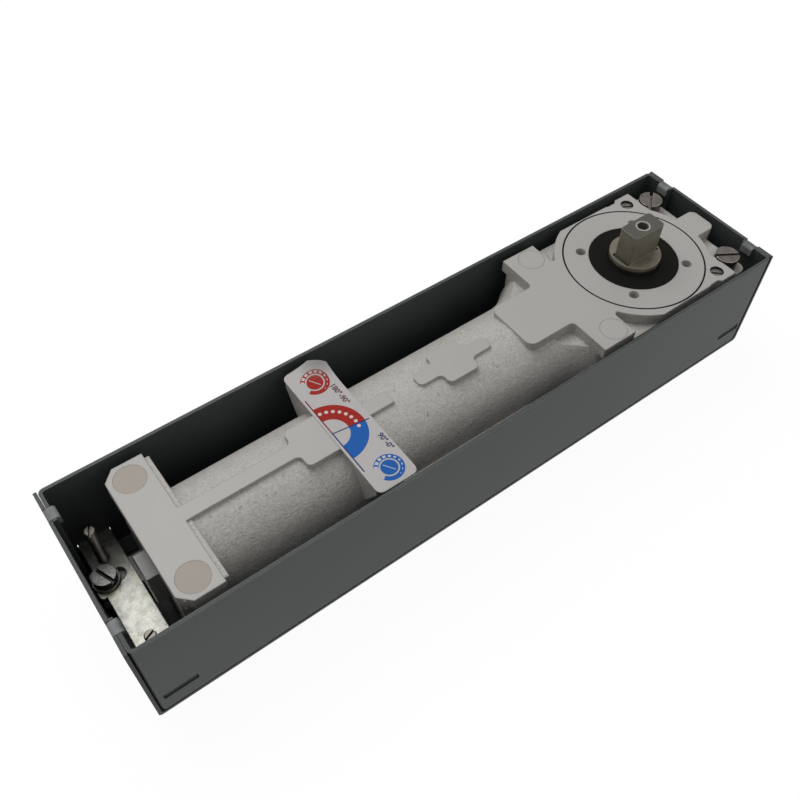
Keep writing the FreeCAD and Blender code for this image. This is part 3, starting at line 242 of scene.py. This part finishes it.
def zinc_plate(name, tone):
    """Mottled zinc: pale patches, yellow stains and dull specks, with painted shade that darkens its
    back end and, near black, its tips inside the walls' slots. tone scales its brightness."""
    finish = Finish(name)
    patches = finish.noise(330.0, 6.0, 0.75)
    specks = finish.noise(900.0, 4.0, 0.75)
    low = tuple(tone * c for c in (0.18, 0.18, 0.16))
    high = tuple(tone * c for c in (0.36, 0.36, 0.33))
    plate = finish.blend(finish.step(patches, 0.35, 0.62), low, high)
    stain = finish.step(finish.noise(120.0, 3.0, 0.6), 0.5, 0.66)
    plate = finish.blend(stain * 0.45, plate, (0.30, 0.275, 0.20))
    dull = finish.step(specks, 0.60, 0.68)
    plate = finish.blend(dull * 0.7, plate, (0.12, 0.115, 0.10))
    along = finish.axis("Y")
    # Painted shade: darker towards the back end of the bar, which lies in the shadow of the casting.
    back_shade = finish.step(along + patches * BACK_SHADE_RAGGED, BACK_SHADE_START, BACK_SHADE_END)
    plate = finish.blend(back_shade * 0.6, plate, (0.075, 0.075, 0.068))
    # Painted shade: near black on the bar's ends inside the walls' slots, with less metal and more
    # roughness there.
    slot_shade = finish.step(abs(along), SLOT_SHADE_START, SLOT_SHADE_END)
    finish.link("Base Color", finish.blend(slot_shade, plate, (0.008, 0.009, 0.009)))
    finish.link("Metallic", 0.8 - slot_shade * 0.78)
    finish.link("Roughness", 0.27 + patches * 0.2 + dull * 0.25 + slot_shade * 0.4)
    finish.relief(patches * 0.6 + specks * 0.4, 0.06 * MM, finish.softened(0.5 * MM))
    return finish


ZINC = zinc_plate("zinc_plate", tone=0.95)
dress("spindle_crossbar", ZINC)
dress("rear_crossbar", ZINC)


# Closer body. One grey painted iron casting: sandy and pitted where it is as cast, and smooth on
# the pads of its top, which are milled level. The lid and the plugs of the head have the same paint.

MILLED_START = 57.0 * MM
MILLED_LEVEL = 57.4 * MM
GROOVE_RADIUS = 34.15 * MM
GROOVE_HALF_WIDTH = 0.42 * MM
LID_FOOT = 50.0 * MM
VALVE_X = 26.0 * MM
VALVE_Y = 30.0 * MM
VALVE_BORE = 3.6 * MM
VALVE_BORE_RIM = 57.95 * MM


def painted_iron():
    """Grey paint on cast iron: sandy and pitted below, and smooth on the level top. A near black
    painted shade fills the groove round the lid and the valves' bores."""
    finish = Finish("painted_iron", Specular_IOR_Level=0.4)
    up = finish.axis("Z", finish.node("ShaderNodeNewGeometry", output="Normal"))
    height = finish.axis("Z")
    level = finish.step(height, MILLED_START, MILLED_LEVEL) * finish.step(up, 0.97, 0.995)
    cast = 1.0 - level
    sand = finish.noise(1050.0, 2.0, 0.6)
    lumps = finish.noise(420.0, 3.0, 0.55)
    waves = finish.noise(70.0, 2.0, 0.5)
    clouds = finish.noise(22.0, 2.0)
    pit = finish.step(finish.noise(430.0, 4.0, 0.7), 0.655, 0.71) * cast
    speck = finish.step(finish.noise(520.0, 3.0, 0.75), 0.72, 0.75) * level
    smooth = finish.blend(clouds, (0.355, 0.341, 0.322), (0.380, 0.367, 0.351))
    shade = finish.step(lumps * 0.25 + sand * 0.75, 0.3, 0.7)
    rough = finish.blend(shade, (0.350, 0.337, 0.313), (0.482, 0.464, 0.438))
    paint = finish.blend(level, rough, smooth)
    paint = finish.blend(pit * 0.55 + speck * 0.7, paint, (0.13, 0.12, 0.105))
    # Painted shade: near black in the groove round the lid and down the walls of the valves' bores.
    dark = finish.radius().within(GROOVE_RADIUS, GROOVE_HALF_WIDTH) * (height > LID_FOOT)
    for side in (-VALVE_Y, VALVE_Y):
        dark = dark + (finish.radius(VALVE_X, side) < VALVE_BORE) * (height < VALVE_BORE_RIM)
    finish.link("Base Color", finish.blend(dark, paint, (0.004, 0.004, 0.004)))
    finish.link("Roughness", 0.46 + cast * 0.12 - clouds * 0.05)
    relief = (sand * 0.42 + lumps * 0.42 + waves * 0.9) * cast - pit * 0.35 - speck * 0.2
    finish.relief(relief, 0.6 * MM, finish.softened(0.8 * MM))
    return finish


IRON = painted_iron()
for piece in ("closer_body", "closer_lid", "head_core_plugs"):
    dress(piece, IRON)


# Foot plugs. Two putty coloured discs let into the foot's pads and rubbed level with them.

def plug_putty():
    """Smooth beige filler with faint clouds."""
    finish = Finish("plug_putty")
    clouds = finish.noise(160.0, 3.0)
    putty = finish.blend(clouds, (0.285, 0.250, 0.215), (0.325, 0.290, 0.25))
    finish.link("Base Color", putty)
    finish.link("Roughness", 0.5 + clouds * 0.1)
    finish.relief(clouds, 0.03 * MM)
    return finish


dress("foot_plugs", plug_putty())


# Shaft seal. A black rubber ring between the lid and the spindle, moulded with fine circles. The
# O-rings inside are of the same rubber.

SEAL_WAVES_TO_THE_METRE = 9000.0


def seal_rubber():
    """Matt black rubber with fine circles round the spindle, a sine of the distance from its axis."""
    finish = Finish("seal_rubber", Specular_IOR_Level=0.06)
    wave = {0: finish.radius() * SEAL_WAVES_TO_THE_METRE}
    circles = finish.node("ShaderNodeMath", {"operation": "SINE"}, wave)
    dust = finish.noise(700.0, 3.0)
    finish.link("Base Color", finish.blend(dust, (0.0035, 0.0035, 0.003), (0.008, 0.008, 0.007)))
    finish.link("Roughness", 0.6 + dust * 0.2)
    finish.relief(circles * 0.5 + dust * 0.5, 0.02 * MM)
    return finish


RUBBER = seal_rubber()
for ring in ("shaft_seal", "lid_o_ring", "end_plug_o_ring", "closing_valve_o_ring",
             "latching_valve_o_ring"):
    dress(ring, RUBBER)


# Spindle. Browned steel, milled to a block that fits the door's socket, with the tool's fine marks
# and bright lines where its edges are rubbed. A steel screw with a hexagon socket closes its bore.

FACE_DEPTH = 0.1 * MM
RING_HALF_WIDTH = 0.4 * MM


def steel(name, dark, light, shine, marks=0.02, metal=0.9, rub=0.7, top=None, bright=None, level=None,
          oiled=None, ring=None, soft=0.22):
    """Steel with clouds, fine marks of that depth in mm and rubbed edges, which on the fixing screws
    are also a painted glint. shine is its roughness. Above the height top, its level faces take the
    level colour, or else are scratched as bright as the edges. Up to its given shade height it is
    black, a painted shade. ring is the radius of a bright ring about the spindle's axis, outside which
    it is dark. soft is the radius in mm over which an edge is rubbed."""
    finish = Finish(name, Metallic=metal)
    clouds = finish.noise(260.0, 3.0)
    grain = finish.noise(2400.0, 3.0, 0.65)
    base = finish.blend(finish.step(clouds * 0.6 + grain * 0.4, 0.3, 0.7), dark, light)
    edge = bright or tuple(min(1.0, 1.9 * c) for c in light)
    if top:
        up = finish.axis("Z", finish.node("ShaderNodeNewGeometry", output="Normal"))
        face = finish.step(up, 0.8, 0.95) * finish.step(finish.axis("Z"), top - FACE_DEPTH, top)
        if level:
            base = finish.blend(face, base, level)
        else:
            scratch = finish.step(finish.noise(850.0, 4.0, 0.75), 0.42, 0.58)
            base = finish.blend(face * (0.5 + scratch * 0.5), base, edge)
    worn = finish.rubbed(soft * MM)
    base = finish.blend(worn * rub, base, edge)
    if ring:
        radius = finish.radius()
        base = finish.blend(radius.within(ring, RING_HALF_WIDTH) * face, base, edge)
        base = finish.blend(radius > ring + RING_HALF_WIDTH, base, (0.015, 0.015, 0.013))
    # Painted shade: black below the given height, where the flange's side stands in shadow.
    if oiled:
        shade_line = finish.axis("Z") + clouds * 0.6 * MM
        flange_shade = 1.0 - finish.step(shade_line, oiled - 0.3 * MM, oiled + 0.5 * MM)
        base = finish.blend(flange_shade, base, (0.012, 0.011, 0.009))
    finish.link("Base Color", base)
    finish.link("Roughness", shine + clouds * 0.12 - worn * 0.08)
    finish.relief(grain * 0.5 + clouds * 0.5, marks * MM, finish.softened(0.25 * MM))
    return finish


# Painted shade: the spindle is black up to this height, so its flange side lies dark.
FLANGE_SHADE_TOP = 60.2 * MM
SOCKET_RING = 3.2 * MM
spindle_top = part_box("spindle")[1].z - FACE_DEPTH
dress("spindle", steel("browned_steel", (0.122, 0.111, 0.080), (0.172, 0.159, 0.118), shine=0.42,
                       metal=0.3, rub=0.75, top=spindle_top, bright=(0.32, 0.31, 0.26),
                       level=(0.058, 0.056, 0.045), oiled=FLANGE_SHADE_TOP, soft=0.45))
socket_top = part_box("spindle_socket_screw")[1].z - 2 * FACE_DEPTH
dress("spindle_socket_screw", steel("socket_steel", (0.13, 0.125, 0.10), (0.20, 0.19, 0.16), shine=0.3,
                                    metal=0.5, rub=0.3, top=socket_top, bright=(0.31, 0.30, 0.275),
                                    level=(0.10, 0.096, 0.08), ring=SOCKET_RING))


# Screws. Slotted cheese heads of grey-brown steel, a black clamping screw on a zinc washer, the
# barrel's hexagon plug, and levelling screws, which are threaded along their whole length.

CLAMP_SCREW_FACE = 21.0 * MM
STUD_FACE = 38.5 * MM
# The fixing screws' rubbed rims are light with wear, and brighter still as a painted glint.
SCREW_STEEL = steel("screw_steel", (0.085, 0.073, 0.066), (0.165, 0.145, 0.133), shine=0.24, marks=0.06,
                    bright=(0.58, 0.54, 0.49), soft=0.4)
dress("body_fixing_screws", SCREW_STEEL)
VALVE_STEEL = steel("valve_steel", (0.12, 0.115, 0.10), (0.22, 0.21, 0.19), shine=0.34, metal=0.5,
                    rub=0.6, bright=(0.36, 0.35, 0.32))
for screw in ("closing_speed_valve", "latching_speed_valve"):
    dress(screw, VALVE_STEEL)
dress("rear_clamp_screw", steel("black_steel", (0.012, 0.012, 0.012), (0.050, 0.050, 0.048), shine=0.3,
                                marks=0.06, rub=0.6, top=CLAMP_SCREW_FACE, bright=(0.17, 0.17, 0.162)))
dress("rear_clamp_washer", zinc_plate("washer_zinc", tone=0.45))
dress("end_plug", steel("plug_steel", (0.135, 0.132, 0.124), (0.180, 0.177, 0.168), shine=0.36,
                        marks=0.03, metal=0.2, bright=(0.45, 0.44, 0.42)))

THREAD_PITCH = 0.8 * MM
THREAD_DEPTH = 0.42 * MM
THREAD_STEEPNESS = 1.35
THREAD_CREST = 0.2
THREAD_LEVELS_TO_THE_PITCH = 10
SHANK_POINTS = 40
STUD_SLOT_HALF = 0.42 * MM
STUD_SLOT_DEPTH = 1.7 * MM
STUD_CHAMFER = 0.35 * MM
HALF_LEVELS = 24
HALF_POINTS = 32
HALF_SUNK = 0.2 * MM
HALF_SUNK_SHARE = 0.85
STUD_STEEL = steel("stud_steel", (0.085, 0.075, 0.062), (0.170, 0.155, 0.135), shine=0.28, marks=0.03,
                   top=STUD_FACE, bright=(0.24, 0.23, 0.21), level=(0.100, 0.094, 0.084))


def add_object(name, data):
    """Adds an object with that data to the scene."""
    piece = bpy.data.objects.new(name, data)
    bpy.context.scene.collection.objects.link(piece)
    return piece


def closed_shells(name, shells):
    """One mesh of closed tubes. A shell is an array of levels x points x 3, whose points run round
    anticlockwise seen from above. Its first and last level are closed by a fan about their middle."""
    places = []
    faces = []
    for shell in shells:
        levels, points, _ = shell.shape
        first = sum(len(part) for part in places)
        index = first + np.arange(levels * points).reshape(levels, points)
        after = np.roll(index, -1, axis=1)
        faces += np.stack([index[:-1], after[:-1], after[1:], index[1:]], -1).reshape(-1, 4).tolist()
        bottom = first + levels * points
        faces += np.stack([after[0], index[0], np.full(points, bottom)], -1).tolist()
        faces += np.stack([index[-1], after[-1], np.full(points, bottom + 1)], -1).tolist()
        middles = np.stack([shell[0].mean(0), shell[-1].mean(0)])
        places.append(np.concatenate([shell.reshape(-1, 3), middles]))
    mesh = bpy.data.meshes.new(name)
    mesh.from_pydata(np.concatenate(places).tolist(), [], faces)
    return add_object(name, mesh)


def threaded_radius(angle, z, outer, low, high):
    """outer less THREAD_DEPTH times the groove, and cut by a cone at both ends. The wave is 0 in the
    middle of the crest and 1 half a THREAD_PITCH from it, and climbs one pitch in a turn. The groove
    is THREAD_STEEPNESS times the wave, less THREAD_CREST, and kept between 0 and 1."""
    wave = np.abs((z / THREAD_PITCH - angle / (2 * np.pi)) % 1 - 0.5) * 2
    radius = outer - THREAD_DEPTH * np.clip(THREAD_STEEPNESS * wave - THREAD_CREST, 0, 1)
    cone = outer - STUD_CHAMFER + np.minimum(z - low, high - z)
    return np.minimum(radius, cone)


def levelling_stud(node, slot_degrees):
    """The screw: threaded shank up to the slot's floor, and above it the two halves beside the slot.
    Each half starts HALF_SUNK below the floor, with HALF_SUNK_SHARE of its radius, inside the shank."""
    low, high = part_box(node)
    x = (low.x + high.x) / 2
    y = (low.y + high.y) / 2
    outer = (high.x - low.x) / 2
    floor = high.z - STUD_SLOT_DEPTH
    slot_turn = math.radians(slot_degrees)

    levels = int((floor - low.z) / THREAD_PITCH * THREAD_LEVELS_TO_THE_PITCH)
    z = np.linspace(low.z, floor, levels)[:, None]
    angle = np.linspace(0, 2 * np.pi, SHANK_POINTS, endpoint=False)[None, :]
    radius = threaded_radius(angle, z, outer, low.z, high.z)
    shank = np.stack([x + radius * np.cos(angle), y + radius * np.sin(angle), z + 0 * angle], -1)
    shells = [shank]
    z = np.concatenate([[floor - HALF_SUNK], np.linspace(floor, high.z, HALF_LEVELS)])[:, None]
    sunk = np.where(z < floor, HALF_SUNK_SHARE, 1.0)
    edge = math.asin(STUD_SLOT_HALF / outer)
    for half in (0.0, np.pi):
        angle = np.linspace(edge, np.pi - edge, HALF_POINTS)[None, :]
        radius = threaded_radius(angle + half + slot_turn, z, outer, low.z, high.z) * sunk
        beside = np.maximum(radius * np.sin(angle), STUD_SLOT_HALF)
        ahead = radius * np.cos(angle)
        turn = half + slot_turn
        shells.append(np.stack([x + ahead * np.cos(turn) - beside * np.sin(turn),
                                y + ahead * np.sin(turn) + beside * np.cos(turn), z + 0 * angle], -1))
    stud = closed_shells(f"{node}_threaded", shells)
    stud.data.materials.append(STUD_STEEL.material)
    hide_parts(node)
    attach(stud, node)


levelling_stud("levelling_screw_front", slot_degrees=23)
levelling_stud("levelling_screw_back", slot_degrees=68)


# Inner works. Steel cam, roller, piston and spring, and bearings of bronze. They are seen only when
# the casting is opened.

INNER_STEEL = steel("inner_steel", (0.24, 0.24, 0.24), (0.42, 0.42, 0.41), shine=0.3)
for inner in ("heart_cam", "roller", "roller_pin", "piston", "piston_ring", "check_valve_ball",
              "spring_seat", "closing_spring"):
    dress(inner, INNER_STEEL)
BRONZE = steel("bronze", (0.36, 0.24, 0.10), (0.52, 0.38, 0.18), shine=0.35)
for bush in ("upper_bearing", "lower_bearing", "check_valve_body"):
    dress(bush, BRONZE)


# Setting label. A thin white plastic sheet with rounded corners, stuck across the bridge. Its rear
# right corner is creased off, and the sheet lifts there. It is printed with a two coloured scale of
# angles and with the two screws that set it.

LABEL_THICKNESS = 0.3 * MM
LABEL_CORNER = 3.0 * MM
CREASE_BACK = 5.4 * MM
CREASE_ACROSS = 6.2 * MM
LABEL_LIFT = 5.2 * MM
LABEL_LIFT_REACH = 19 * MM
label_low, label_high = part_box("setting_label")


def label_lift(x, y):
    """The sheet's height over the bridge: LABEL_LIFT times the square of the nearness to its loose
    corner, which is 1 there and 0 from LABEL_LIFT_REACH on."""
    from_corner = np.hypot(x - label_high.x, y - label_high.y)
    return LABEL_LIFT * np.clip(1 - from_corner / LABEL_LIFT_REACH, 0, 1)**2


def label_grid(across, along):
    """The sheet: two flat parameters. Its corners are drawn in as quarter circles, and the loose one
    is drawn in to a straight crease."""
    u, v = np.meshgrid(np.linspace(0, 1, across), np.linspace(0, 1, along))
    y = label_low.y + (label_high.y - label_low.y) * v
    near_end = np.minimum(y - label_low.y, label_high.y - y)
    inside = np.clip(LABEL_CORNER - near_end, 0, LABEL_CORNER)
    inset = LABEL_CORNER - np.sqrt(LABEL_CORNER**2 - inside**2)
    torn = np.clip(CREASE_BACK - (label_high.y - y), 0, None) * (CREASE_ACROSS / CREASE_BACK)
    left = label_low.x + inset
    right = label_high.x - np.maximum(inset, torn)
    x = left + (right - left) * u
    return x, y, label_high.z + label_lift(x, y)


def grid_mesh(name, x, y, z):
    """A mesh of quads through a grid of points, with the flat x and y in millimetres as its map."""
    rows, columns = x.shape
    corner = np.arange(rows * columns).reshape(rows, columns)
    quads = np.stack([corner[:-1, :-1], corner[:-1, 1:], corner[1:, 1:], corner[1:, :-1]], -1)
    quads = quads.reshape(-1, 4)
    mesh = bpy.data.meshes.new(name)
    mesh.from_pydata(np.stack([x, y, z], -1).reshape(-1, 3).tolist(), [], quads.tolist())
    flat = mesh.uv_layers.new(name="flat")
    points = np.stack([x, y], -1).reshape(-1, 2)[quads.reshape(-1)] / MM
    flat.data.foreach_set("uv", points.astype(np.float32).ravel())
    mesh.polygons.foreach_set("use_smooth", np.ones(len(quads), bool))
    return add_object(name, mesh)


RED = (0.29, 0.014, 0.009)
DARK_RED = (0.16, 0.008, 0.010)
BLUE = (0.010, 0.095, 0.36)
NAVY = (0.010, 0.020, 0.13)
BARE_WHITE = (0.50, 0.485, 0.48)
DOT_WHITE = (0.62, 0.50, 0.48)

# Places and sizes of the print are in millimetres, and the angles of its rings in radians.
SCALE_CENTRE = (-176.9, -2.5)
SCALE_INNER = 7.4
SCALE_OUTER = 15.0
SCALE_SLOPE = 0.13
SCALE_RIGHT = -160.2
LINE_LOW = -25.2
LINE_HIGH = 18.4
LINE_HALF = 0.28
DOTS = 8
DOT_CIRCLE = 11.5
DOT_RADIUS = 0.8
DOT_FIRST_DEGREES = 83.7
DOT_STEP_DEGREES = 13.95
RED_SCREW = (-168.2, 24.2)
BLUE_SCREW = (-167.6, -29.2)
DISC_RADIUS = 3.65
SLOT_ACROSS = (0.839, 0.545)
SLOT_HALF = 0.16
SLOT_REACH = 2.8
RING_INNER = 4.3
RING_OUTER = 6.4
RING_FROM = -2.55
RING_TO = 2.62
MARKS_RADIUS = 5.35
MARKS_FROM = -1.5
MARKS_TO = 2.7
MARKS_TO_THE_TURN = 15.0
CREASE_MIDDLE = (-160.5, 34.5)


def below(field, limit, soft=0.1):
    """1 below the limit and 0 above it, with an edge that is soft to either side."""
    return 1.0 - field.finish.step(field, limit - soft, limit + soft)


def band(field, low, high):
    """1 between low and high and 0 elsewhere, with soft edges."""
    return (1.0 - below(field, low)) * below(field, high)


def printed_scale(ink, across, along):
    """Adds the scale of angles to the ink: a half ring to the right of a line, red above a sloping
    divider and blue below it, and a row of dots from the line to just past the divider."""
    finish = ink.finish
    right = across - SCALE_CENTRE[0]
    up = along - SCALE_CENTRE[1]
    arc = band(finish.length(right, up), SCALE_INNER, SCALE_OUTER) * (right > 0.0)
    slope = up + right * SCALE_SLOPE
    lower = below(slope, 0.0)
    ink = finish.blend((1.0 - lower) * arc, ink, RED)
    ink = finish.blend(lower * arc, ink, BLUE)
    for turn in range(DOTS):
        angle = math.radians(DOT_FIRST_DEGREES - DOT_STEP_DEGREES * turn)
        away = finish.length(right - DOT_CIRCLE * math.cos(angle), up - DOT_CIRCLE * math.sin(angle))
        ink = finish.blend(below(away, DOT_RADIUS, 0.15), ink, DOT_WHITE)
    line = band(right, -LINE_HALF, LINE_HALF)
    ink = finish.blend(line * band(along, SCALE_CENTRE[1], LINE_HIGH), ink, DARK_RED)
    ink = finish.blend(line * band(along, LINE_LOW, SCALE_CENTRE[1]), ink, NAVY)
    divider = band(slope, -LINE_HALF, LINE_HALF)
    return finish.blend(divider * band(across, SCALE_CENTRE[0], SCALE_RIGHT), ink, NAVY)


def printed_screw(ink, right, up, colour):
    """Adds a screw to the ink, from the distances to its middle: a slotted disc, and round it an open
    ring of that colour with bare marks. They get longer and wider with their share of the way."""
    finish = ink.finish
    away = finish.length(right, up)
    angle = finish.node("ShaderNodeMath", {"operation": "ARCTAN2"}, {0: up, 1: right})
    from_slot = right * SLOT_ACROSS[0] + up * SLOT_ACROSS[1]
    slot = band(from_slot, -SLOT_HALF, SLOT_HALF) * below(away, SLOT_REACH)
    ring = band(away, RING_INNER, RING_OUTER) * below(angle, RING_TO, 0.02) * (angle > RING_FROM)
    share = finish.step(angle, MARKS_FROM, MARKS_TO)
    wave = finish.node("ShaderNodeMath", {"operation": "SINE"}, {0: angle * MARKS_TO_THE_TURN})
    marks = abs(away - MARKS_RADIUS) < share * 0.62 + 0.1
    marks = marks * (wave > 0.35 - share * 0.8) * (angle > MARKS_FROM)
    ink = finish.blend(below(away, DISC_RADIUS), ink, colour)
    ink = finish.blend(slot, ink, BARE_WHITE)
    ink = finish.blend(ring, ink, colour)
    return finish.blend(ring * marks, ink, BARE_WHITE)


def printed_sheet():
    """White sheet with its print worked out from each point's flat place, and a grey painted shade by
    its crease.
    """
    finish = Finish("printed_sheet", Specular_IOR_Level=0.12)
    flat = finish.node("ShaderNodeUVMap", {"uv_map": "flat"})
    across = finish.axis("X", flat)
    along = finish.axis("Y", flat)
    grain = finish.noise(500.0, 3.0)
    ink = finish.blend(grain, (0.415, 0.400, 0.392), (0.465, 0.450, 0.442))
    ink = printed_scale(ink, across, along)
    for centre, colour in ((RED_SCREW, RED), (BLUE_SCREW, BLUE)):
        ink = printed_screw(ink, across - centre[0], along - centre[1], colour)
    from_crease = finish.length(across - CREASE_MIDDLE[0], along - CREASE_MIDDLE[1])
    # Painted shade: grey on the sheet near its lifted, creased corner.
    corner_shade = below(from_crease, 8.0, 5.0)
    ink = finish.blend(corner_shade * 0.7, ink, (0.20, 0.193, 0.188))
    finish.link("Base Color", ink)
    finish.link("Roughness", 0.5 + grain * 0.08)
    finish.relief(grain, 0.01 * MM)
    return finish


label = grid_mesh("label_sheet", *label_grid(across=60, along=200))
label.data.materials.append(printed_sheet().material)
backing = label.modifiers.new("thickness", "SOLIDIFY")
backing.thickness = LABEL_THICKNESS
backing.offset = -1
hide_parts("setting_label")
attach(label, "frame")


NUMBER_SIZE = 3.5 * MM
INK_THICKNESS = 0.02 * MM
INK_SPREAD = 0.12 * MM
INK_GAP = 0.03 * MM


def print_number(name, text, centre, colour):
    """Plain numbers in ink, along the label's length, a hair above the sheet."""
    curve = bpy.data.curves.new(name, "FONT")
    curve.body = text
    curve.size = NUMBER_SIZE
    curve.align_x = "CENTER"
    curve.align_y = "CENTER"
    curve.extrude = INK_THICKNESS
    curve.offset = INK_SPREAD
    curve.resolution_u = 3
    word = add_object(name, curve)
    bpy.context.view_layer.update()
    mesh = bpy.data.meshes.new_from_object(word)
    bpy.data.objects.remove(word)
    points = np.empty(len(mesh.vertices) * 3, np.float32)
    mesh.vertices.foreach_get("co", points)
    x, y, z = points.reshape(-1, 3).T
    x, y = centre[0] * MM + y, centre[1] * MM - x
    placed = np.stack([x, y, label_high.z + label_lift(x, y) + INK_GAP + z], -1)
    mesh.vertices.foreach_set("co", placed.astype(np.float32).ravel())
    piece = add_object(name, mesh)
    ink = Finish(f"{name}_ink")
    grain = ink.noise(900.0)
    ink.link("Base Color", ink.blend(grain, colour, tuple(1.4 * c for c in colour)))
    ink.link("Roughness", 0.4 + grain * 0.1)
    piece.data.materials.append(ink.material)
    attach(piece, "frame")


print_number("upper_angles", "180\u00b0-90\u00b0", (-162.9, 13.2), (0.05, 0.004, 0.006))
print_number("lower_angles", "90\u00b0-0\u00b0", (-161.3, -18.0), (0.006, 0.010, 0.06))


# Stage. A white floor that keeps the object's soft shadow, two broad lamps, and the camera. The
# white background is there for the camera and for reflections, and doesn't light the object.

FLOOR_REACH = 6.0
FLOOR_DROP = 0.3 * MM
FLOOR_TONE = 0.78
GLOW_SHARE = 0.92
GLOW_STRENGTH = 1.03
SKY_STRENGTH = 0.41


def seen(tree):
    """1 for rays that see the background: from the camera, by a reflection or through glass."""
    path = tree.nodes.new("ShaderNodeLightPath")
    share = path.outputs["Is Camera Ray"]
    for ray in ("Is Glossy Ray", "Is Transmission Ray"):
        more = tree.nodes.new("ShaderNodeMath")
        more.operation = "MAXIMUM"
        tree.links.new(share, more.inputs[0])
        tree.links.new(path.outputs[ray], more.inputs[1])
        share = more.outputs[0]
    return share


def white_floor():
    """Plain pale floor: where it is seen, GLOW_SHARE of it is white light, and the rest is lit paint,
    which keeps the object's shadow."""
    mesh = bpy.data.meshes.new("floor")
    corners = [(x * FLOOR_REACH, y * FLOOR_REACH, 0) for x, y in ((-1, -1), (1, -1), (1, 1), (-1, 1))]
    mesh.from_pydata(corners, [], [(0, 1, 2, 3)])
    floor = add_object("floor", mesh)
    floor.location.z = -FLOOR_DROP
    paint = Finish("floor_paint", Roughness=0.9, Base_Color=(FLOOR_TONE, FLOOR_TONE, FLOOR_TONE, 1.0))
    white = {"Color": (1.0, 1.0, 1.0, 1.0), "Strength": GLOW_STRENGTH}
    glow = paint.node("ShaderNodeEmission", None, white)
    shader = Field(paint, paint.shader.outputs[0])
    share = Field(paint, seen(paint.tree)) * GLOW_SHARE
    mixed = paint.node("ShaderNodeMixShader", None, {0: share, 1: shader, 2: glow})
    surface = paint.tree.nodes["Material Output"].inputs["Surface"]
    paint.tree.links.new(mixed.socket, surface)
    mesh.materials.append(paint.material)


white_floor()


def lamp(name, place, target, size, power):
    """A square lamp that faces the target."""
    light = bpy.data.lights.new(name, "AREA")
    light.size = size
    light.energy = power
    lit = add_object(name, light)
    lit.location = place
    x, y, z = np.array(target) - np.array(place)
    yaw = math.atan2(y, x)
    pitch = math.atan2(-z, math.hypot(x, y))
    lit.rotation_euler = (math.pi / 2 - pitch, 0, yaw - math.pi / 2)


MIDDLE = (-0.116, 0.0, 0.03)
lamp("key", (-0.22, 0.65, 1.2), MIDDLE, size=0.9, power=10.6)
lamp("fill", (0.5, -1.1, 0.8), MIDDLE, size=1.2, power=2.0)

world = bpy.data.worlds.new("studio")
bpy.context.scene.world = world
world.use_nodes = True
tree = world.node_tree
sky = tree.nodes["Background"]
white = tree.nodes.new("ShaderNodeBackground")
for background, strength in ((sky, SKY_STRENGTH), (white, 1.0)):
    background.inputs["Color"].default_value = (1.0, 1.0, 1.0, 1.0)
    background.inputs["Strength"].default_value = strength
pick = tree.nodes.new("ShaderNodeMixShader")
tree.links.new(seen(tree), pick.inputs[0])
tree.links.new(sky.outputs[0], pick.inputs[1])
tree.links.new(white.outputs[0], pick.inputs[2])
tree.links.new(pick.outputs[0], tree.nodes["World Output"].inputs["Surface"])

camera_data = bpy.data.cameras.new("camera")
camera_data.sensor_width = 36.0
camera_data.lens = 39.332
camera_data.clip_start = 0.01
camera = add_object("camera", camera_data)
camera.location = (-0.28134, -0.18460, 0.34908)
camera.rotation_euler = [math.radians(angle) for angle in (37.9067, -0.7457, -36.338)]
bpy.context.scene.camera = camera
bpy.context.scene.view_settings.view_transform = "Standard"
